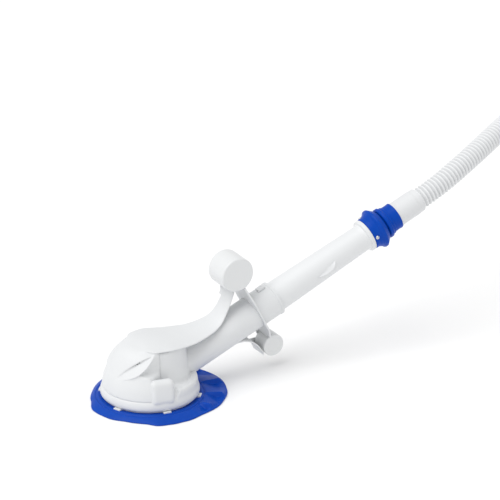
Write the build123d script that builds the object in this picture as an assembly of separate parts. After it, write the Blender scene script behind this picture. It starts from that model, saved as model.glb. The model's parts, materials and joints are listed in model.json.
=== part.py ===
"""Suction-side swimming pool cleaner with two deflector rollers and one hose section.

Units are millimetres and +Z is up. The origin is the centre of the suction mouth at
floor level. +X runs along the floor under the inclined pipe, towards the hose, and
the rollers turn about axes parallel to Y.
"""
from build123d import *
from math import cos, pi, radians, sin, tan
import os

# ---------------------------------------------------------------- driving sizes
CLEAR = 0.3            # gap between pieces that move past each other
FIT = 0.15             # gap between pieces that are fastened to each other
RUN_FIT = 0.05         # radial gap of a roller on its axle

# head: lower housing, cover and foot
HEAD_R = 89.0          # outside radius of the ring at the bottom of the head
RING_TOP_R = HEAD_R - 3.5
RING_BOTTOM_Z = 12.0
RING_TOP_Z = 30.0
HOUSING_WALL = 3.0
DECK_Z = 44.0          # deck between the ring and the suction chamber
DECK_R = HEAD_R - 13
REAR_RIM_Z = 45.0      # the ring's wall rises behind the catch blocks
REAR_RIM_X = 5.0
CHAMBER_X = 14.0       # centre of the suction chamber, behind the head's centre
CHAMBER_BASE_R = HEAD_R - 33
CHAMBER_TOP_R = CHAMBER_BASE_R - 6
DOME_TOP_Z = 114.0
CHAMBER_TOP_Z = DOME_TOP_Z - 8
ROOF_Z = 70.0          # partition between the chamber and the float pocket
DOME_CUT_LOW_X = 41 - HEAD_R  # the dome is a part shell up to a slanted edge
DOME_CUT_TOP_X = -22.0
COVER_WALL = 3.0
NECK_LOW_X = 119.0     # where the strap passes closest over the tube
NECK_OVER_TUBE = 2.74
NECK_ROOM = 60.0       # half the width of the blank that the strap is cut from
LUG_WIDTH = 42.0       # catch blocks on the head's sides
LUG_R = HEAD_R - 2
LUG_LOW_Z = 27.0
LUG_TOP_Z = 66.0
LUG_DEPTH = 21.0
LUG_EDGE = 5.0
LUG_TURN = 103.0       # degrees from +X to the middle of a catch block
MOUTH_R = 36.0
THROAT_WALL = 3.2
FOOT_R = HEAD_R - 5
FOOT_TOP_Z = 11.6
FOOT_RETAINER_R = MOUTH_R + 11
FOOT_RETAINER_T = 3.0
SLOT_WIDTH = 10.0      # water slots across the underside of the foot
SLOT_DEPTH = 2.5
TAB_COUNT = 6
TAB_WIDTH = 14.0
TAB_TURN = 20.0        # degrees from +X to the first tab
TAB_REACH = 4.0        # how far a bayonet tab shows beyond the head ring

# flexible disc
SKIRT_R = HEAD_R + 34
SKIRT_OFFSET_X = 18.0
SKIRT_T = 3.0
SKIRT_HOLE_R = HEAD_R - 13
SKIRT_FLAT_R = HEAD_R + 11
SKIRT_Z = 6.0

# inclined body tube and outer pipe, on the pipe axis
TILT = 21.5            # degrees above the floor
AXIS_Z = 31.0          # height of the pipe axis over the origin
BODY_R = 31.5
BODY_WALL = 3.0
BODY_START = 52.0
BODY_END = 279.5
COLLAR_LIP = 1.2
COLLAR_LIP_LENGTH = 5.0
PIPE_PLAY = 0.5        # radial gap of the outer pipe in the collar
PIPE_BASE_R = BODY_R - BODY_WALL - PIPE_PLAY
PIPE_TIP_R = 24.5
PIPE_WALL = 2.5
PIPE_START = 240.0
PIPE_TAPER_START = 300.0
LIP_R = 30.5
LIP_LENGTH = 7.0
PIPE_END = 491.0
SPIGOT_R = 26.5
SPIGOT_WALL = 2.2
SPIGOT_LENGTH = 11.0
SEAL_AT = 260.0
SEAL_WIDTH = 3.6
SEAL_DEPTH = 1.6
LATCH_LENGTH = 16.0
LATCH_WIDTH = 11.0
LATCH_HEIGHT = 4.5
LATCH_AT = 262.0

# suction parts inside the body tube
INNER_R = 20.0
INNER_WALL = 2.0
INNER_START = 172.0
INNER_END = PIPE_END + 7
INNER_FLANGE_T = 4.0
CASSETTE_START = 56.0
CASSETTE_END = 156.0
CASSETTE_WALL = 2.2
DIAPHRAGM_R = 23.5
DIAPHRAGM_WALL = 2.5
DIAPHRAGM_FLANGE_T = 3.0
RING_T = 5.0

# rollers and their bracket
TOP_ROLLER = (171.0, 208.0)
TOP_ROLLER_R = 32.0
TOP_ROLLER_LENGTH = 51.0
LOW_ROLLER = (249.0, 47.5)
LOW_ROLLER_R = 20.5
LOW_ROLLER_LENGTH = 34.0
ROLLER_EDGE = 3.0
ROLLER_WALL = 2.6
ROLLER_HUB_WALL = 4.0
ROLLER_GAP = 0.8
AXLE_R = 4.0
AXLE_HEAD_R = 6.5
AXLE_HEAD_T = 2.5
EAR_T = 3.0
EAR_R = 9.0
PLATE_T = 3.0
RIB_WIDTH = 4.0
STRUT_T = 2.6

# swivel and hose
SWIVEL_CAGE_R = 27.0
SWIVEL_BAND_R = SWIVEL_CAGE_R + 3.5
SWIVEL_FLANGE_R = SWIVEL_CAGE_R + 11.5
SWIVEL_RING_END = PIPE_END + 32
SWIVEL_BORE_R = 22.6
SLEEVE_FLANGE_AT = PIPE_END + 17
SLEEVE_FLANGE_T = 4.0
SLEEVE_RIM_R = 29.0
SLEEVE_END = PIPE_END + 64.5
SLEEVE_END_R = 24.0
SLEEVE_BORE_R = 16.5
SPIGOT_TAIL_R = 18.8
SPIGOT_TAIL_END = SLEEVE_END + 38.5
WASHER_T = 3.0
SCREW_R = 2.0
SCREW_HEAD_R = 3.6
SCREW_HEAD_T = 2.0
SCREW_AT = PIPE_END + 6
SWIVEL_SCREW_TURNS = (85.0, 205.0, 325.0)
CUFF_R = 23.0
CUFF_END = SLEEVE_END + 53.5
HOSE_R = 20.5
HOSE_WALL = 2.0
HOSE_START = SLEEVE_END + 48
SOCKET_R = 19.0
SOCKET_LENGTH = 45.0
END_CUFF_R = 25.0
END_CUFF_LENGTH = 66.0
END_CUFF_OVERLAP = 14.0

# ballast and float
BALLAST_IN_R = MOUTH_R + 14
BALLAST_OUT_R = HEAD_R - 11
BALLAST_SHOULDER_R = BALLAST_OUT_R - 12
BALLAST_T = 22.0
BALLAST_SCREW_R = 2.5
BALLAST_SCREW_TURNS = (130.0, 180.0, 230.0)
FLOAT_GAP = 1.5

# route of the hose, start to end cuff, chosen by hand
HOSE_ROUTE = [
    (561.5, 0.0, 252.2),
    (603.4, 0.0, 268.7),
    (660.3, 11.1, 290.7),
    (724.1, 31.8, 310.6),
    (791.0, 62.3, 325.6),
    (858.5, 101.3, 328.3),
    (923.7, 135.9, 315.3),
    (985.5, 163.4, 285.2),
    (1045.9, 184.2, 237.1),
    (1106.3, 199.2, 174.9),
    (1163.1, 208.2, 119.3),
    (1222.6, 213.4, 79.0),
    (1281.5, 215.5, 54.0),
    (1340.8, 216.5, 35.2),
    (1398.1, 217.0, 28.3),
    (1450.1, 217.2, 26.7),
]

# ---------------------------------------------------------------- shared places
PIPE_DIR = Vector(cos(radians(TILT)), 0, sin(radians(TILT)))
PIPE_UP = Vector(-sin(radians(TILT)), 0, cos(radians(TILT)))
PIPE = Plane(origin=(0, 0, AXIS_Z), x_dir=PIPE_UP, z_dir=PIPE_DIR)
BODY_BORE_R = BODY_R - BODY_WALL
THROAT_R = MOUTH_R + THROAT_WALL
TOP_EAR_Y = TOP_ROLLER_LENGTH / 2 + ROLLER_GAP
TOP_OUTER_EAR_Y = TOP_EAR_Y + EAR_T + FIT
LOW_EAR_Y = LOW_ROLLER_LENGTH / 2 + ROLLER_GAP


def turned(points):
    """Solid of revolution about Z from (radius, height) points."""
    outline = Polyline(*points, close=True)
    return revolve(Plane.XZ * make_face(outline), Axis.Z)


def on_pipe(points):
    """Solid of revolution about the pipe axis from (radius, distance) points."""
    return PIPE * turned(points)


def ring(outer, inner, start, end):
    """Points of a plain ring between two heights."""
    return [(inner, start), (outer, start), (outer, end), (inner, end)]


def pipe_bar(radius, start, end):
    """Solid bar on the pipe axis, used to cut room for what lies on it."""
    length = end - start
    return PIPE * Pos(0, 0, start + length / 2) * Cylinder(radius, length)


def across(radius, x, z, y_from, y_to):
    """Cylinder parallel to Y."""
    return Pos(x, (y_from + y_to) / 2, z) * Rot(90, 0, 0) * Cylinder(radius, y_to - y_from)


def slab(points, y_from, y_to):
    """Plate with an outline in the XZ plane, between two Y values."""
    face = Plane.XZ * make_face(Polyline(*points, close=True))
    return Pos(0, y_to, 0) * extrude(face, y_to - y_from)


def strip(points, thickness, y_from, y_to):
    """Bent sheet whose top follows a smooth line in the XZ plane."""
    upper = Spline(*points)
    drop = Pos(0, -thickness)
    lower = drop * Spline(*points)
    ends = [Line(upper @ 0, lower @ 0), Line(upper @ 1, lower @ 1)]
    face = Plane.XZ * make_face(Curve() + [upper, lower] + ends)
    return Pos(0, y_to, 0) * extrude(face, y_to - y_from)


def tube_top(x):
    """Height of the room that the body tube needs, straight above its axis."""
    return AXIS_Z + x * tan(radians(TILT)) + (BODY_R + CLEAR) / cos(radians(TILT))


# ---------------------------------------------------------------- head
def chamber_cone(inset, low, high):
    """Solid cone of the suction chamber, inset from its outer wall."""
    rise = CHAMBER_TOP_Z - DECK_Z
    shrink = (CHAMBER_BASE_R - CHAMBER_TOP_R) / rise
    low_r = CHAMBER_BASE_R - inset - shrink * (low - DECK_Z)
    high_r = CHAMBER_BASE_R - inset - shrink * (high - DECK_Z)
    return Pos(CHAMBER_X, 0, 0) * turned([(0, low), (low_r, low), (high_r, high), (0, high)])


def lug_block(side):
    """Catch block on one side of the head, rounded on its upright edges."""
    height = LUG_TOP_Z - LUG_LOW_Z
    block = fillet(Box(LUG_DEPTH, LUG_WIDTH, height).edges().filter_by(Axis.Z), LUG_EDGE)
    middle = Pos(LUG_R - LUG_DEPTH / 2, 0, LUG_LOW_Z + height / 2)
    return Rot(0, 0, side * LUG_TURN) * middle * block


def lower_housing():
    """Bottom ring, deck, suction chamber, float pocket and catch blocks, in one moulding."""
    wall = HOUSING_WALL
    floor_top = RING_BOTTOM_Z + wall
    ledge_r = RING_TOP_R - COVER_WALL - 1
    body = turned([
        (THROAT_R + CLEAR, RING_BOTTOM_Z),
        (HEAD_R - 1.5, RING_BOTTOM_Z),
        (HEAD_R, RING_BOTTOM_Z + 1.5),
        (HEAD_R, RING_BOTTOM_Z + 8),
        (RING_TOP_R, RING_TOP_Z),
        (ledge_r, RING_TOP_Z),
        (DECK_R, DECK_Z),
        (0, DECK_Z),
        (0, DECK_Z - wall),
        (DECK_R - wall, DECK_Z - wall),
        (ledge_r - 1, RING_TOP_Z - wall),
        (RING_TOP_R - wall, RING_TOP_Z - wall),
        (HEAD_R - wall, RING_BOTTOM_Z + 8),
        (HEAD_R - wall, floor_top),
        (THROAT_R + CLEAR, floor_top),
    ])
    rear_rim = turned([
        (ledge_r - 0.5, RING_TOP_Z - 1),
        (RING_TOP_R, RING_TOP_Z - 1),
        (RING_TOP_R - 0.5, REAR_RIM_Z - 2),
        (RING_TOP_R - 2.5, REAR_RIM_Z),
        (DECK_R - 1, REAR_RIM_Z),
        (DECK_R - 1, DECK_Z - 2),
    ])
    body += rear_rim & slab([
        (REAR_RIM_X, RING_BOTTOM_Z),
        (REAR_RIM_X + 9, REAR_RIM_Z + 1),
        (HEAD_R, REAR_RIM_Z + 1),
        (HEAD_R, RING_BOTTOM_Z),
    ], -HEAD_R, HEAD_R)
    inside = chamber_cone(wall, DECK_Z - 2 * wall, ROOF_Z)
    for side in (-1, 1):
        body += lug_block(side) - Cylinder(DECK_R, 2 * DOME_TOP_Z)
    body += chamber_cone(0, DECK_Z, CHAMBER_TOP_Z)
    body -= inside
    body -= chamber_cone(wall, ROOF_Z + wall, CHAMBER_TOP_Z)
    return body - pipe_bar(BODY_R + FIT, BODY_START - HOUSING_WALL, BODY_END)


def dome():
    """Front dome of the cover, up to its slanted rear edge."""
    wall = COVER_WALL
    low = RING_TOP_Z + FIT
    low_r = RING_TOP_R
    outer = [
        (low_r, low),
        (low_r - 1.5, 47),
        (low_r - 6, 67),
        (low_r - 15, DOME_TOP_Z - 26),
        (low_r - 21.5, DOME_TOP_Z - 15),
        (low_r - 30.5, DOME_TOP_Z - 6.5),
        (low_r - 45.5, DOME_TOP_Z - 1.7),
        (0, DOME_TOP_Z),
    ]
    inner = [
        (0, DOME_TOP_Z - wall),
        (low_r - 46.5, DOME_TOP_Z - wall - 2),
        (low_r - 32.3, DOME_TOP_Z - wall - 6.5),
        (low_r - 24.2, DOME_TOP_Z - 16.5),
        (low_r - 17.8, DOME_TOP_Z - 27),
        (low_r - 8.9, 66.3),
        (low_r - 4.5, 46.6),
        (low_r - wall, low),
    ]
    front = slab([
        (-HEAD_R, 0),
        (DOME_CUT_LOW_X, 0),
        (DOME_CUT_LOW_X, RING_TOP_Z),
        (DOME_CUT_TOP_X, DOME_TOP_Z - 8),
        (0, DOME_TOP_Z + 1),
        (-HEAD_R, DOME_TOP_Z + 1),
    ], -HEAD_R, HEAD_R)
    return turned(outer + inner) & front


def neck():
    """Strap that sweeps from the dome up to the top roller, with the roller's outer ear."""
    x, z = TOP_ROLLER
    end_z = z - TOP_ROLLER_R - 2
    spine = [
        (-45, DOME_TOP_Z - 3),
        (-15, DOME_TOP_Z - 1),
        (20, DOME_TOP_Z - 2.5),
        (74, DOME_TOP_Z - 5.5),
        (NECK_LOW_X, tube_top(NECK_LOW_X) + NECK_OVER_TUBE),
        (x - 22, end_z - 37.5),
        (x - 2.5, end_z),
    ]
    half_widths = [
        (-45, 20),
        (-25, 46),
        (0, 52.5),
        (20, 54),
        (49, 48),
        (95, 35),
        (x - 34, 23.5),
        (x - 14, 18),
        (x, 17),
    ]
    near = [(at, -half) for at, half in half_widths]
    far = [(at, half) for at, half in half_widths[:-2]]
    ear_out = TOP_EAR_Y + EAR_T
    tab = [(x - 25, 20), (x - 19, ear_out), (x, ear_out)]
    outline = make_face(Polyline(*near, *reversed(far + tab), close=True))
    band = strip(spine, COVER_WALL, -NECK_ROOM, NECK_ROOM) & extrude(outline, 2 * DOME_TOP_Z)
    foot = [(x - 14, end_z - 26), (x - 3, end_z - 4)]
    ear = slab(foot + [(x + 6, z), (x - 6, z)], TOP_EAR_Y, ear_out)
    boss = across(EAR_R, x, z, TOP_EAR_Y, ear_out)
    roller_room = across(TOP_ROLLER_R + ROLLER_GAP, x, z, -TOP_ROLLER_LENGTH, TOP_EAR_Y - 0.01)
    return band + ear + boss - roller_room - across(AXLE_R + FIT, x, z, 0, 2 * ear_out)


def head_cover():
    """Dome and neck as one moulding, clear of the housing and the body tube."""
    cover = dome() + neck() - pipe_bar(BODY_R + CLEAR, 0, BODY_END)
    cover -= chamber_cone(-FIT, DECK_Z, CHAMBER_TOP_Z + FIT)
    for side in (-1, 1):
        cover -= lug_block(side)
    return cover


def foot_pad():
    """Turning foot with the suction mouth, water slots and bayonet tabs."""
    seat_r = SKIRT_HOLE_R - FIT
    top = FOOT_TOP_Z
    retainer_low = RING_BOTTOM_Z + HOUSING_WALL + CLEAR
    body = turned([
        (MOUTH_R, 0),
        (seat_r - 2, 0),
        (seat_r, SKIRT_Z - FIT),
        (seat_r, SKIRT_Z + SKIRT_T + FIT),
        (FOOT_R, SKIRT_Z + SKIRT_T + FIT),
        (FOOT_R, top),
        (THROAT_R, top),
        (THROAT_R, retainer_low + FOOT_RETAINER_T),
        (MOUTH_R, retainer_low + FOOT_RETAINER_T),
    ])
    tab_low = SKIRT_Z + SKIRT_T + FIT
    tab_out = HEAD_R + TAB_REACH
    tab_length = tab_out - FOOT_R + 4
    for index in range(TAB_COUNT):
        turn = Rot(0, 0, index * 360 / TAB_COUNT + TAB_TURN)
        block = Box(tab_length, TAB_WIDTH, top - tab_low)
        body += turn * Pos(tab_out - tab_length / 2, 0, (top + tab_low) / 2) * block
        slot = Box(FOOT_R, SLOT_WIDTH, 2 * SLOT_DEPTH)
        body -= turn * Pos(MOUTH_R + 4 + FOOT_R / 2, 0, 0) * slot
    return body


def foot_retainer():
    """Snap ring that keeps the foot in the lower housing."""
    low = RING_BOTTOM_Z + HOUSING_WALL + CLEAR
    return turned(ring(FOOT_RETAINER_R, THROAT_R + FIT, low, low + FOOT_RETAINER_T))


def disc_skirt():
    """Flexible disc, flat near the head and sloping to the floor at its edge."""
    top = SKIRT_Z + SKIRT_T
    edge = 1.5
    disc = turned([
        (0, SKIRT_Z),
        (SKIRT_FLAT_R, SKIRT_Z),
        (SKIRT_R - 3, 0),
        (SKIRT_R - edge, 0),
        (SKIRT_R, edge),
        (SKIRT_R - 2, SKIRT_T + 1),
        (SKIRT_FLAT_R + 2, top),
        (0, top),
    ])
    return Pos(SKIRT_OFFSET_X, 0, 0) * disc - Cylinder(SKIRT_HOLE_R, 4 * top)


def ballast():
    """Cast weight in the front half of the head, with screw holes."""
    low = RING_BOTTOM_Z + HOUSING_WALL + FIT
    blank = turned([
        (BALLAST_IN_R, low),
        (BALLAST_OUT_R, low),
        (BALLAST_OUT_R, RING_TOP_Z - HOUSING_WALL - 4),
        (BALLAST_SHOULDER_R, low + BALLAST_T),
        (BALLAST_IN_R, low + BALLAST_T),
    ])
    front = Pos(-HEAD_R - 5, 0, 0) * Box(2 * HEAD_R, 3 * HEAD_R, 2 * DOME_TOP_Z)
    return (blank & front) - ballast_fixings(BALLAST_SCREW_R + FIT)


def screw_places():
    """Three places on the ballast for its screws."""
    middle = (BALLAST_IN_R + BALLAST_SHOULDER_R) / 2
    for turn in BALLAST_SCREW_TURNS:
        yield middle * cos(radians(turn)), middle * sin(radians(turn))


def ballast_fixings(radius):
    """Screw shanks of one radius, through the ballast."""
    low = RING_BOTTOM_Z + HOUSING_WALL + FIT
    shanks = [Pos(x, y, low + BALLAST_T / 2) * Cylinder(radius, BALLAST_T) for x, y in screw_places()]
    return Part() + shanks


def ballast_screws():
    """The three ballast screws, each with a pan head."""
    top = RING_BOTTOM_Z + HOUSING_WALL + 2 * FIT + BALLAST_T
    head = Cylinder(2 * BALLAST_SCREW_R, SCREW_HEAD_T)
    heads = [Pos(x, y, top + SCREW_HEAD_T / 2) * head for x, y in screw_places()]
    return ballast_fixings(BALLAST_SCREW_R) + heads + [
        Pos(x, y, top) * Cylinder(BALLAST_SCREW_R, 1) for x, y in screw_places()
    ]


def foam_float():
    """Foam that keeps the head upright under water, in the pocket under the cover."""
    low = ROOF_Z + HOUSING_WALL + FIT
    radius = CHAMBER_TOP_R - HOUSING_WALL - FLOAT_GAP
    block = Pos(CHAMBER_X, 0, 0) * turned(ring(radius, 0, low, CHAMBER_TOP_Z - 2))
    return block - pipe_bar(BODY_R + FLOAT_GAP, 0, BODY_END)


# ---------------------------------------------------------------- pipe
def body_tube():
    """Inclined tube from the head to the collar, with the collar's lip."""
    lip_start = BODY_END - COLLAR_LIP_LENGTH
    return on_pipe([
        (BODY_BORE_R, BODY_START),
        (BODY_R, BODY_START),
        (BODY_R, lip_start),
        (BODY_R + COLLAR_LIP, lip_start + 1),
        (BODY_R + COLLAR_LIP, BODY_END),
        (BODY_BORE_R, BODY_END),
    ])


def collar_latch():
    """Lock tab on top of the collar, seated on the tube."""
    block = Box(LATCH_HEIGHT + 2, LATCH_WIDTH, LATCH_LENGTH)
    seat = pipe_bar(BODY_R + FIT, LATCH_AT - LATCH_LENGTH, BODY_END)
    lip_room = pipe_bar(BODY_R + COLLAR_LIP + FIT, BODY_END - COLLAR_LIP_LENGTH, BODY_END)
    return PIPE * Pos(BODY_R + LATCH_HEIGHT / 2 - 1, 0, LATCH_AT) * block - seat - lip_room


def outer_pipe():
    """Tapered outer pipe with a seal groove, an end lip and a spigot."""
    lip_start = PIPE_END - LIP_LENGTH
    wall = PIPE_WALL
    groove_r = PIPE_BASE_R - SEAL_DEPTH
    return on_pipe([
        (PIPE_BASE_R - wall, PIPE_START),
        (PIPE_BASE_R, PIPE_START),
        (PIPE_BASE_R, SEAL_AT),
        (groove_r, SEAL_AT),
        (groove_r, SEAL_AT + SEAL_WIDTH + 2 * FIT),
        (PIPE_BASE_R, SEAL_AT + SEAL_WIDTH + 2 * FIT),
        (PIPE_BASE_R, PIPE_TAPER_START),
        (PIPE_TIP_R, lip_start - 6),
        (PIPE_TIP_R + 1, lip_start - 2),
        (LIP_R, lip_start),
        (LIP_R, PIPE_END),
        (SPIGOT_R, PIPE_END),
        (SPIGOT_R, PIPE_END + SPIGOT_LENGTH),
        (SPIGOT_R - SPIGOT_WALL, PIPE_END + SPIGOT_LENGTH),
        (SPIGOT_R - SPIGOT_WALL, PIPE_END - 2),
        (PIPE_TIP_R - wall, PIPE_END - 5),
        (PIPE_TIP_R - wall, lip_start - 6),
        (PIPE_BASE_R - wall, PIPE_TAPER_START),
    ])


def pipe_seal():
    """Rubber seal in the outer pipe's groove."""
    inner = PIPE_BASE_R - SEAL_DEPTH + 0.05
    outer = BODY_BORE_R - 0.1
    return on_pipe(ring(outer, inner, SEAL_AT + FIT, SEAL_AT + FIT + SEAL_WIDTH))


def inner_pipe():
    """Straight suction pipe with a locating flange at its lower end."""
    flange_r = BODY_BORE_R - FIT
    bore = INNER_R - INNER_WALL
    return on_pipe([
        (bore, INNER_START),
        (flange_r, INNER_START),
        (flange_r, INNER_START + INNER_FLANGE_T),
        (INNER_R, INNER_START + INNER_FLANGE_T),
        (INNER_R, INNER_END),
        (bore, INNER_END),
    ])


def diaphragm_cassette():
    """Cup that holds the diaphragm inside the body tube."""
    outer = BODY_BORE_R - FIT
    inner = outer - CASSETTE_WALL
    lip = DIAPHRAGM_R - DIAPHRAGM_WALL
    return on_pipe([
        (lip, CASSETTE_START),
        (outer, CASSETTE_START),
        (outer, CASSETTE_END),
        (inner, CASSETTE_END),
        (inner, CASSETTE_START + CASSETTE_WALL),
        (lip, CASSETTE_START + CASSETTE_WALL),
    ])


def diaphragm():
    """Rubber tube whose beating drives the cleaner, with a flange at each end."""
    start = CASSETTE_START + CASSETTE_WALL + FIT
    end = CASSETTE_END
    flange_r = BODY_BORE_R - CASSETTE_WALL - 2 * FIT
    flange = DIAPHRAGM_FLANGE_T
    bore = DIAPHRAGM_R - DIAPHRAGM_WALL
    return on_pipe([
        (bore, start),
        (flange_r, start),
        (flange_r, start + flange),
        (DIAPHRAGM_R, start + flange),
        (DIAPHRAGM_R - 3, (start + end) / 2),
        (DIAPHRAGM_R, end - flange),
        (flange_r, end - flange),
        (flange_r, end),
        (bore, end),
        (bore - 3, (start + end) / 2),
    ])


def compression_ring():
    """Ring that presses on the diaphragm's upper flange."""
    outer = BODY_BORE_R - FIT
    start = CASSETTE_END + FIT
    return on_pipe(ring(outer, DIAPHRAGM_R - DIAPHRAGM_WALL, start, start + RING_T))


def retaining_ring():
    """Ring that locks the cassette below the inner pipe."""
    outer = BODY_BORE_R - FIT
    start = CASSETTE_END + RING_T + 2 * FIT
    return on_pipe(ring(outer, INNER_R, start, start + RING_T))


# ---------------------------------------------------------------- rollers
def roller(centre, radius, length):
    """Hollow roller, closed on its near side, with a blind hub for its axle."""
    half = length / 2
    edge = ROLLER_EDGE
    bore = AXLE_R + RUN_FIT
    hub = AXLE_R + ROLLER_HUB_WALL
    face = half - ROLLER_WALL
    shell = turned([
        (0, half),
        (radius - edge, half),
        (radius, half - edge),
        (radius, edge - half),
        (radius - edge, -half),
        (radius - edge - ROLLER_WALL, -half),
        (radius - ROLLER_WALL, edge - half),
        (radius - ROLLER_WALL, face),
        (hub, face),
        (hub, 0.5 - half),
        (bore, 0.5 - half),
        (bore, face - 3),
        (0, face - 3),
    ])
    x, z = centre
    return Pos(x, 0, z) * Rot(90, 0, 0) * shell


def axle(centre, length, ear_end):
    """Fixed axle with its head outside the far ear and its tip in the roller."""
    x, z = centre
    tip = -length / 2 + ROLLER_WALL + 3 + CLEAR
    head_start = ear_end + FIT
    shank = across(AXLE_R, x, z, tip, head_start)
    return shank + across(AXLE_HEAD_R, x, z, head_start, head_start + AXLE_HEAD_T)


def axle_clips():
    """Spring clips between each roller and its ear, one solid for each axle."""
    clips = []
    for (x, z), half in ((TOP_ROLLER, TOP_ROLLER_LENGTH / 2), (LOW_ROLLER, LOW_ROLLER_LENGTH / 2)):
        start = half - 0.5 + 0.1
        clips.append(
            across(AXLE_R + 2.2, x, z, start + CLEAR / 2, half + ROLLER_GAP - 0.1)
            - across(AXLE_R + 0.02, x, z, 0, 2 * half)
        )
    return Part() + clips


def roller_bracket():
    """Plate between the roller axles, round the body tube, with a rear strut."""
    (top_x, top_z), (low_x, low_z) = TOP_ROLLER, LOW_ROLLER
    line = Vector(low_x - top_x, 0, low_z - top_z)
    span = line.length
    down = line.normalized()
    start = TOP_ROLLER_R + ROLLER_GAP
    end = span - LOW_ROLLER_R - ROLLER_GAP
    side = BODY_R + CLEAR + RIB_WIDTH
    shoulder = BODY_R - 1.5
    slope = tan(radians(TILT))
    tube_at = (top_z - AXIS_Z - top_x * slope) / (down.X * slope - down.Z)
    far_top = TOP_OUTER_EAR_Y + EAR_T
    low_half = LOW_EAR_Y + EAR_T
    outline = [
        (start, -TOP_ROLLER_LENGTH / 2),
        (tube_at - shoulder, -side),
        (tube_at + shoulder, -side),
        (end, -low_half),
        (end, low_half),
        (tube_at + shoulder, side),
        (tube_at - shoulder, side),
        (start, far_top),
    ]
    flat = Plane(origin=(top_x, 0, top_z), x_dir=down, z_dir=down.cross(Vector(0, 1, 0)))
    plate = extrude(flat * make_face(Polyline(*outline, close=True)), PLATE_T / 2, both=True)
    top_ear = across(EAR_R, top_x, top_z, TOP_OUTER_EAR_Y, far_top)
    top_ear += ear_arm(top_x, top_z, down, start + 6, TOP_OUTER_EAR_Y, far_top)
    low_reach = LOW_ROLLER_R + ROLLER_GAP + 6
    low_ear = across(EAR_R, low_x, low_z, LOW_EAR_Y, low_half)
    low_ear += ear_arm(low_x, low_z, down * -1, low_reach, LOW_EAR_Y, low_half)
    near_x = low_x - LOW_ROLLER_R
    strut_line = [
        (near_x - 56.5, low_z + 25),
        (near_x - 38.5, low_z + 24),
        (near_x - 23.5, low_z + 18),
        (near_x - 12.5, low_z + 8.5),
        (near_x - 4.5, low_z - 2.5),
        (near_x, low_z - 12.5),
    ]
    strut = strip(strut_line, STRUT_T, -LOW_ROLLER_LENGTH / 2, low_half)
    ear_root = [
        (near_x - 10.5, low_z + 5.5),
        (low_x, low_z + 7),
        (low_x, low_z - 7),
        (near_x - 0.5, low_z - 12.5),
    ]
    low_ear += slab(ear_root, LOW_EAR_Y, low_half)
    top_hole = across(AXLE_R + FIT, top_x, top_z, 0, 2 * far_top)
    low_hole = across(AXLE_R + FIT, low_x, low_z, 0, 2 * low_half)
    low_room = across(LOW_ROLLER_R + ROLLER_GAP, low_x, low_z, -LOW_ROLLER_LENGTH, LOW_EAR_Y - 0.01)
    whole = plate + top_ear + low_ear + strut - top_hole - low_hole - low_room
    return whole - pipe_bar(BODY_R + CLEAR, BODY_START, BODY_END)


def ear_arm(x, z, away, reach, y_from, y_to):
    """Arm of an ear from its axle to the edge of the plate."""
    half = EAR_R - 2
    side_x, side_z = -away.Z * half, away.X * half
    tip_x, tip_z = x + away.X * reach, z + away.Z * reach
    return slab(
        [(x + side_x, z + side_z), (tip_x + side_x, tip_z + side_z),
         (tip_x - side_x, tip_z - side_z), (x - side_x, z - side_z)],
        y_from, y_to)


# ---------------------------------------------------------------- swivel and hose
def swivel_screw_group(radius, low, high):
    """Radial cylinders at the swivel screws' places."""
    length = high - low
    pieces = []
    for turn in SWIVEL_SCREW_TURNS:
        place = PIPE * Pos(0, 0, SCREW_AT) * Rot(0, 0, turn) * Pos(low + length / 2, 0, 0)
        pieces.append(place * Rot(0, 90, 0) * Cylinder(radius, length))
    return Part() + pieces


def swivel_ring():
    """Fixed blue ring that holds the turning sleeve, screwed to the outer pipe."""
    start = PIPE_END + FIT
    inner_face = SLEEVE_FLANGE_AT + SLEEVE_FLANGE_T + WASHER_T + 2 * CLEAR
    body = on_pipe([
        (SPIGOT_R + FIT, start),
        (SWIVEL_BAND_R, start),
        (SWIVEL_BAND_R, start + 11.5),
        (SWIVEL_FLANGE_R - 3, start + 15.5),
        (SWIVEL_FLANGE_R - 0.5, start + 18.5),
        (SWIVEL_FLANGE_R, start + 21.5),
        (SWIVEL_FLANGE_R - 1.5, start + 25),
        (SWIVEL_FLANGE_R - 4, start + 27),
        (SWIVEL_CAGE_R + 2.5, SWIVEL_RING_END),
        (SWIVEL_BORE_R, SWIVEL_RING_END),
        (SWIVEL_BORE_R, inner_face),
        (SWIVEL_CAGE_R, inner_face),
        (SWIVEL_CAGE_R, PIPE_END + SPIGOT_LENGTH),
        (SPIGOT_R + FIT, PIPE_END + SPIGOT_LENGTH - 1),
    ])
    return body - swivel_screw_group(SCREW_R + FIT, SPIGOT_R, SWIVEL_BAND_R + 3)


def swivel_screws():
    """Three radial screws with their heads on the band."""
    shanks = swivel_screw_group(SCREW_R, SPIGOT_R + 0.3, SWIVEL_BAND_R + 0.5)
    return shanks + swivel_screw_group(SCREW_HEAD_R, SWIVEL_BAND_R + FIT, SWIVEL_BAND_R + SCREW_HEAD_T)


def swivel_washer():
    """Low-friction washer under the sleeve's flange."""
    start = PIPE_END + SPIGOT_LENGTH + FIT
    return on_pipe(ring(SWIVEL_CAGE_R - FIT, INNER_R + 1, start, start + WASHER_T))


def swivel_seal():
    """Face seal between the sleeve's flange and the ring."""
    start = SLEEVE_FLANGE_AT + SLEEVE_FLANGE_T
    return on_pipe(ring(SWIVEL_CAGE_R - CLEAR, SWIVEL_BORE_R + 0.1, start + FIT, start + WASHER_T))


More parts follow.
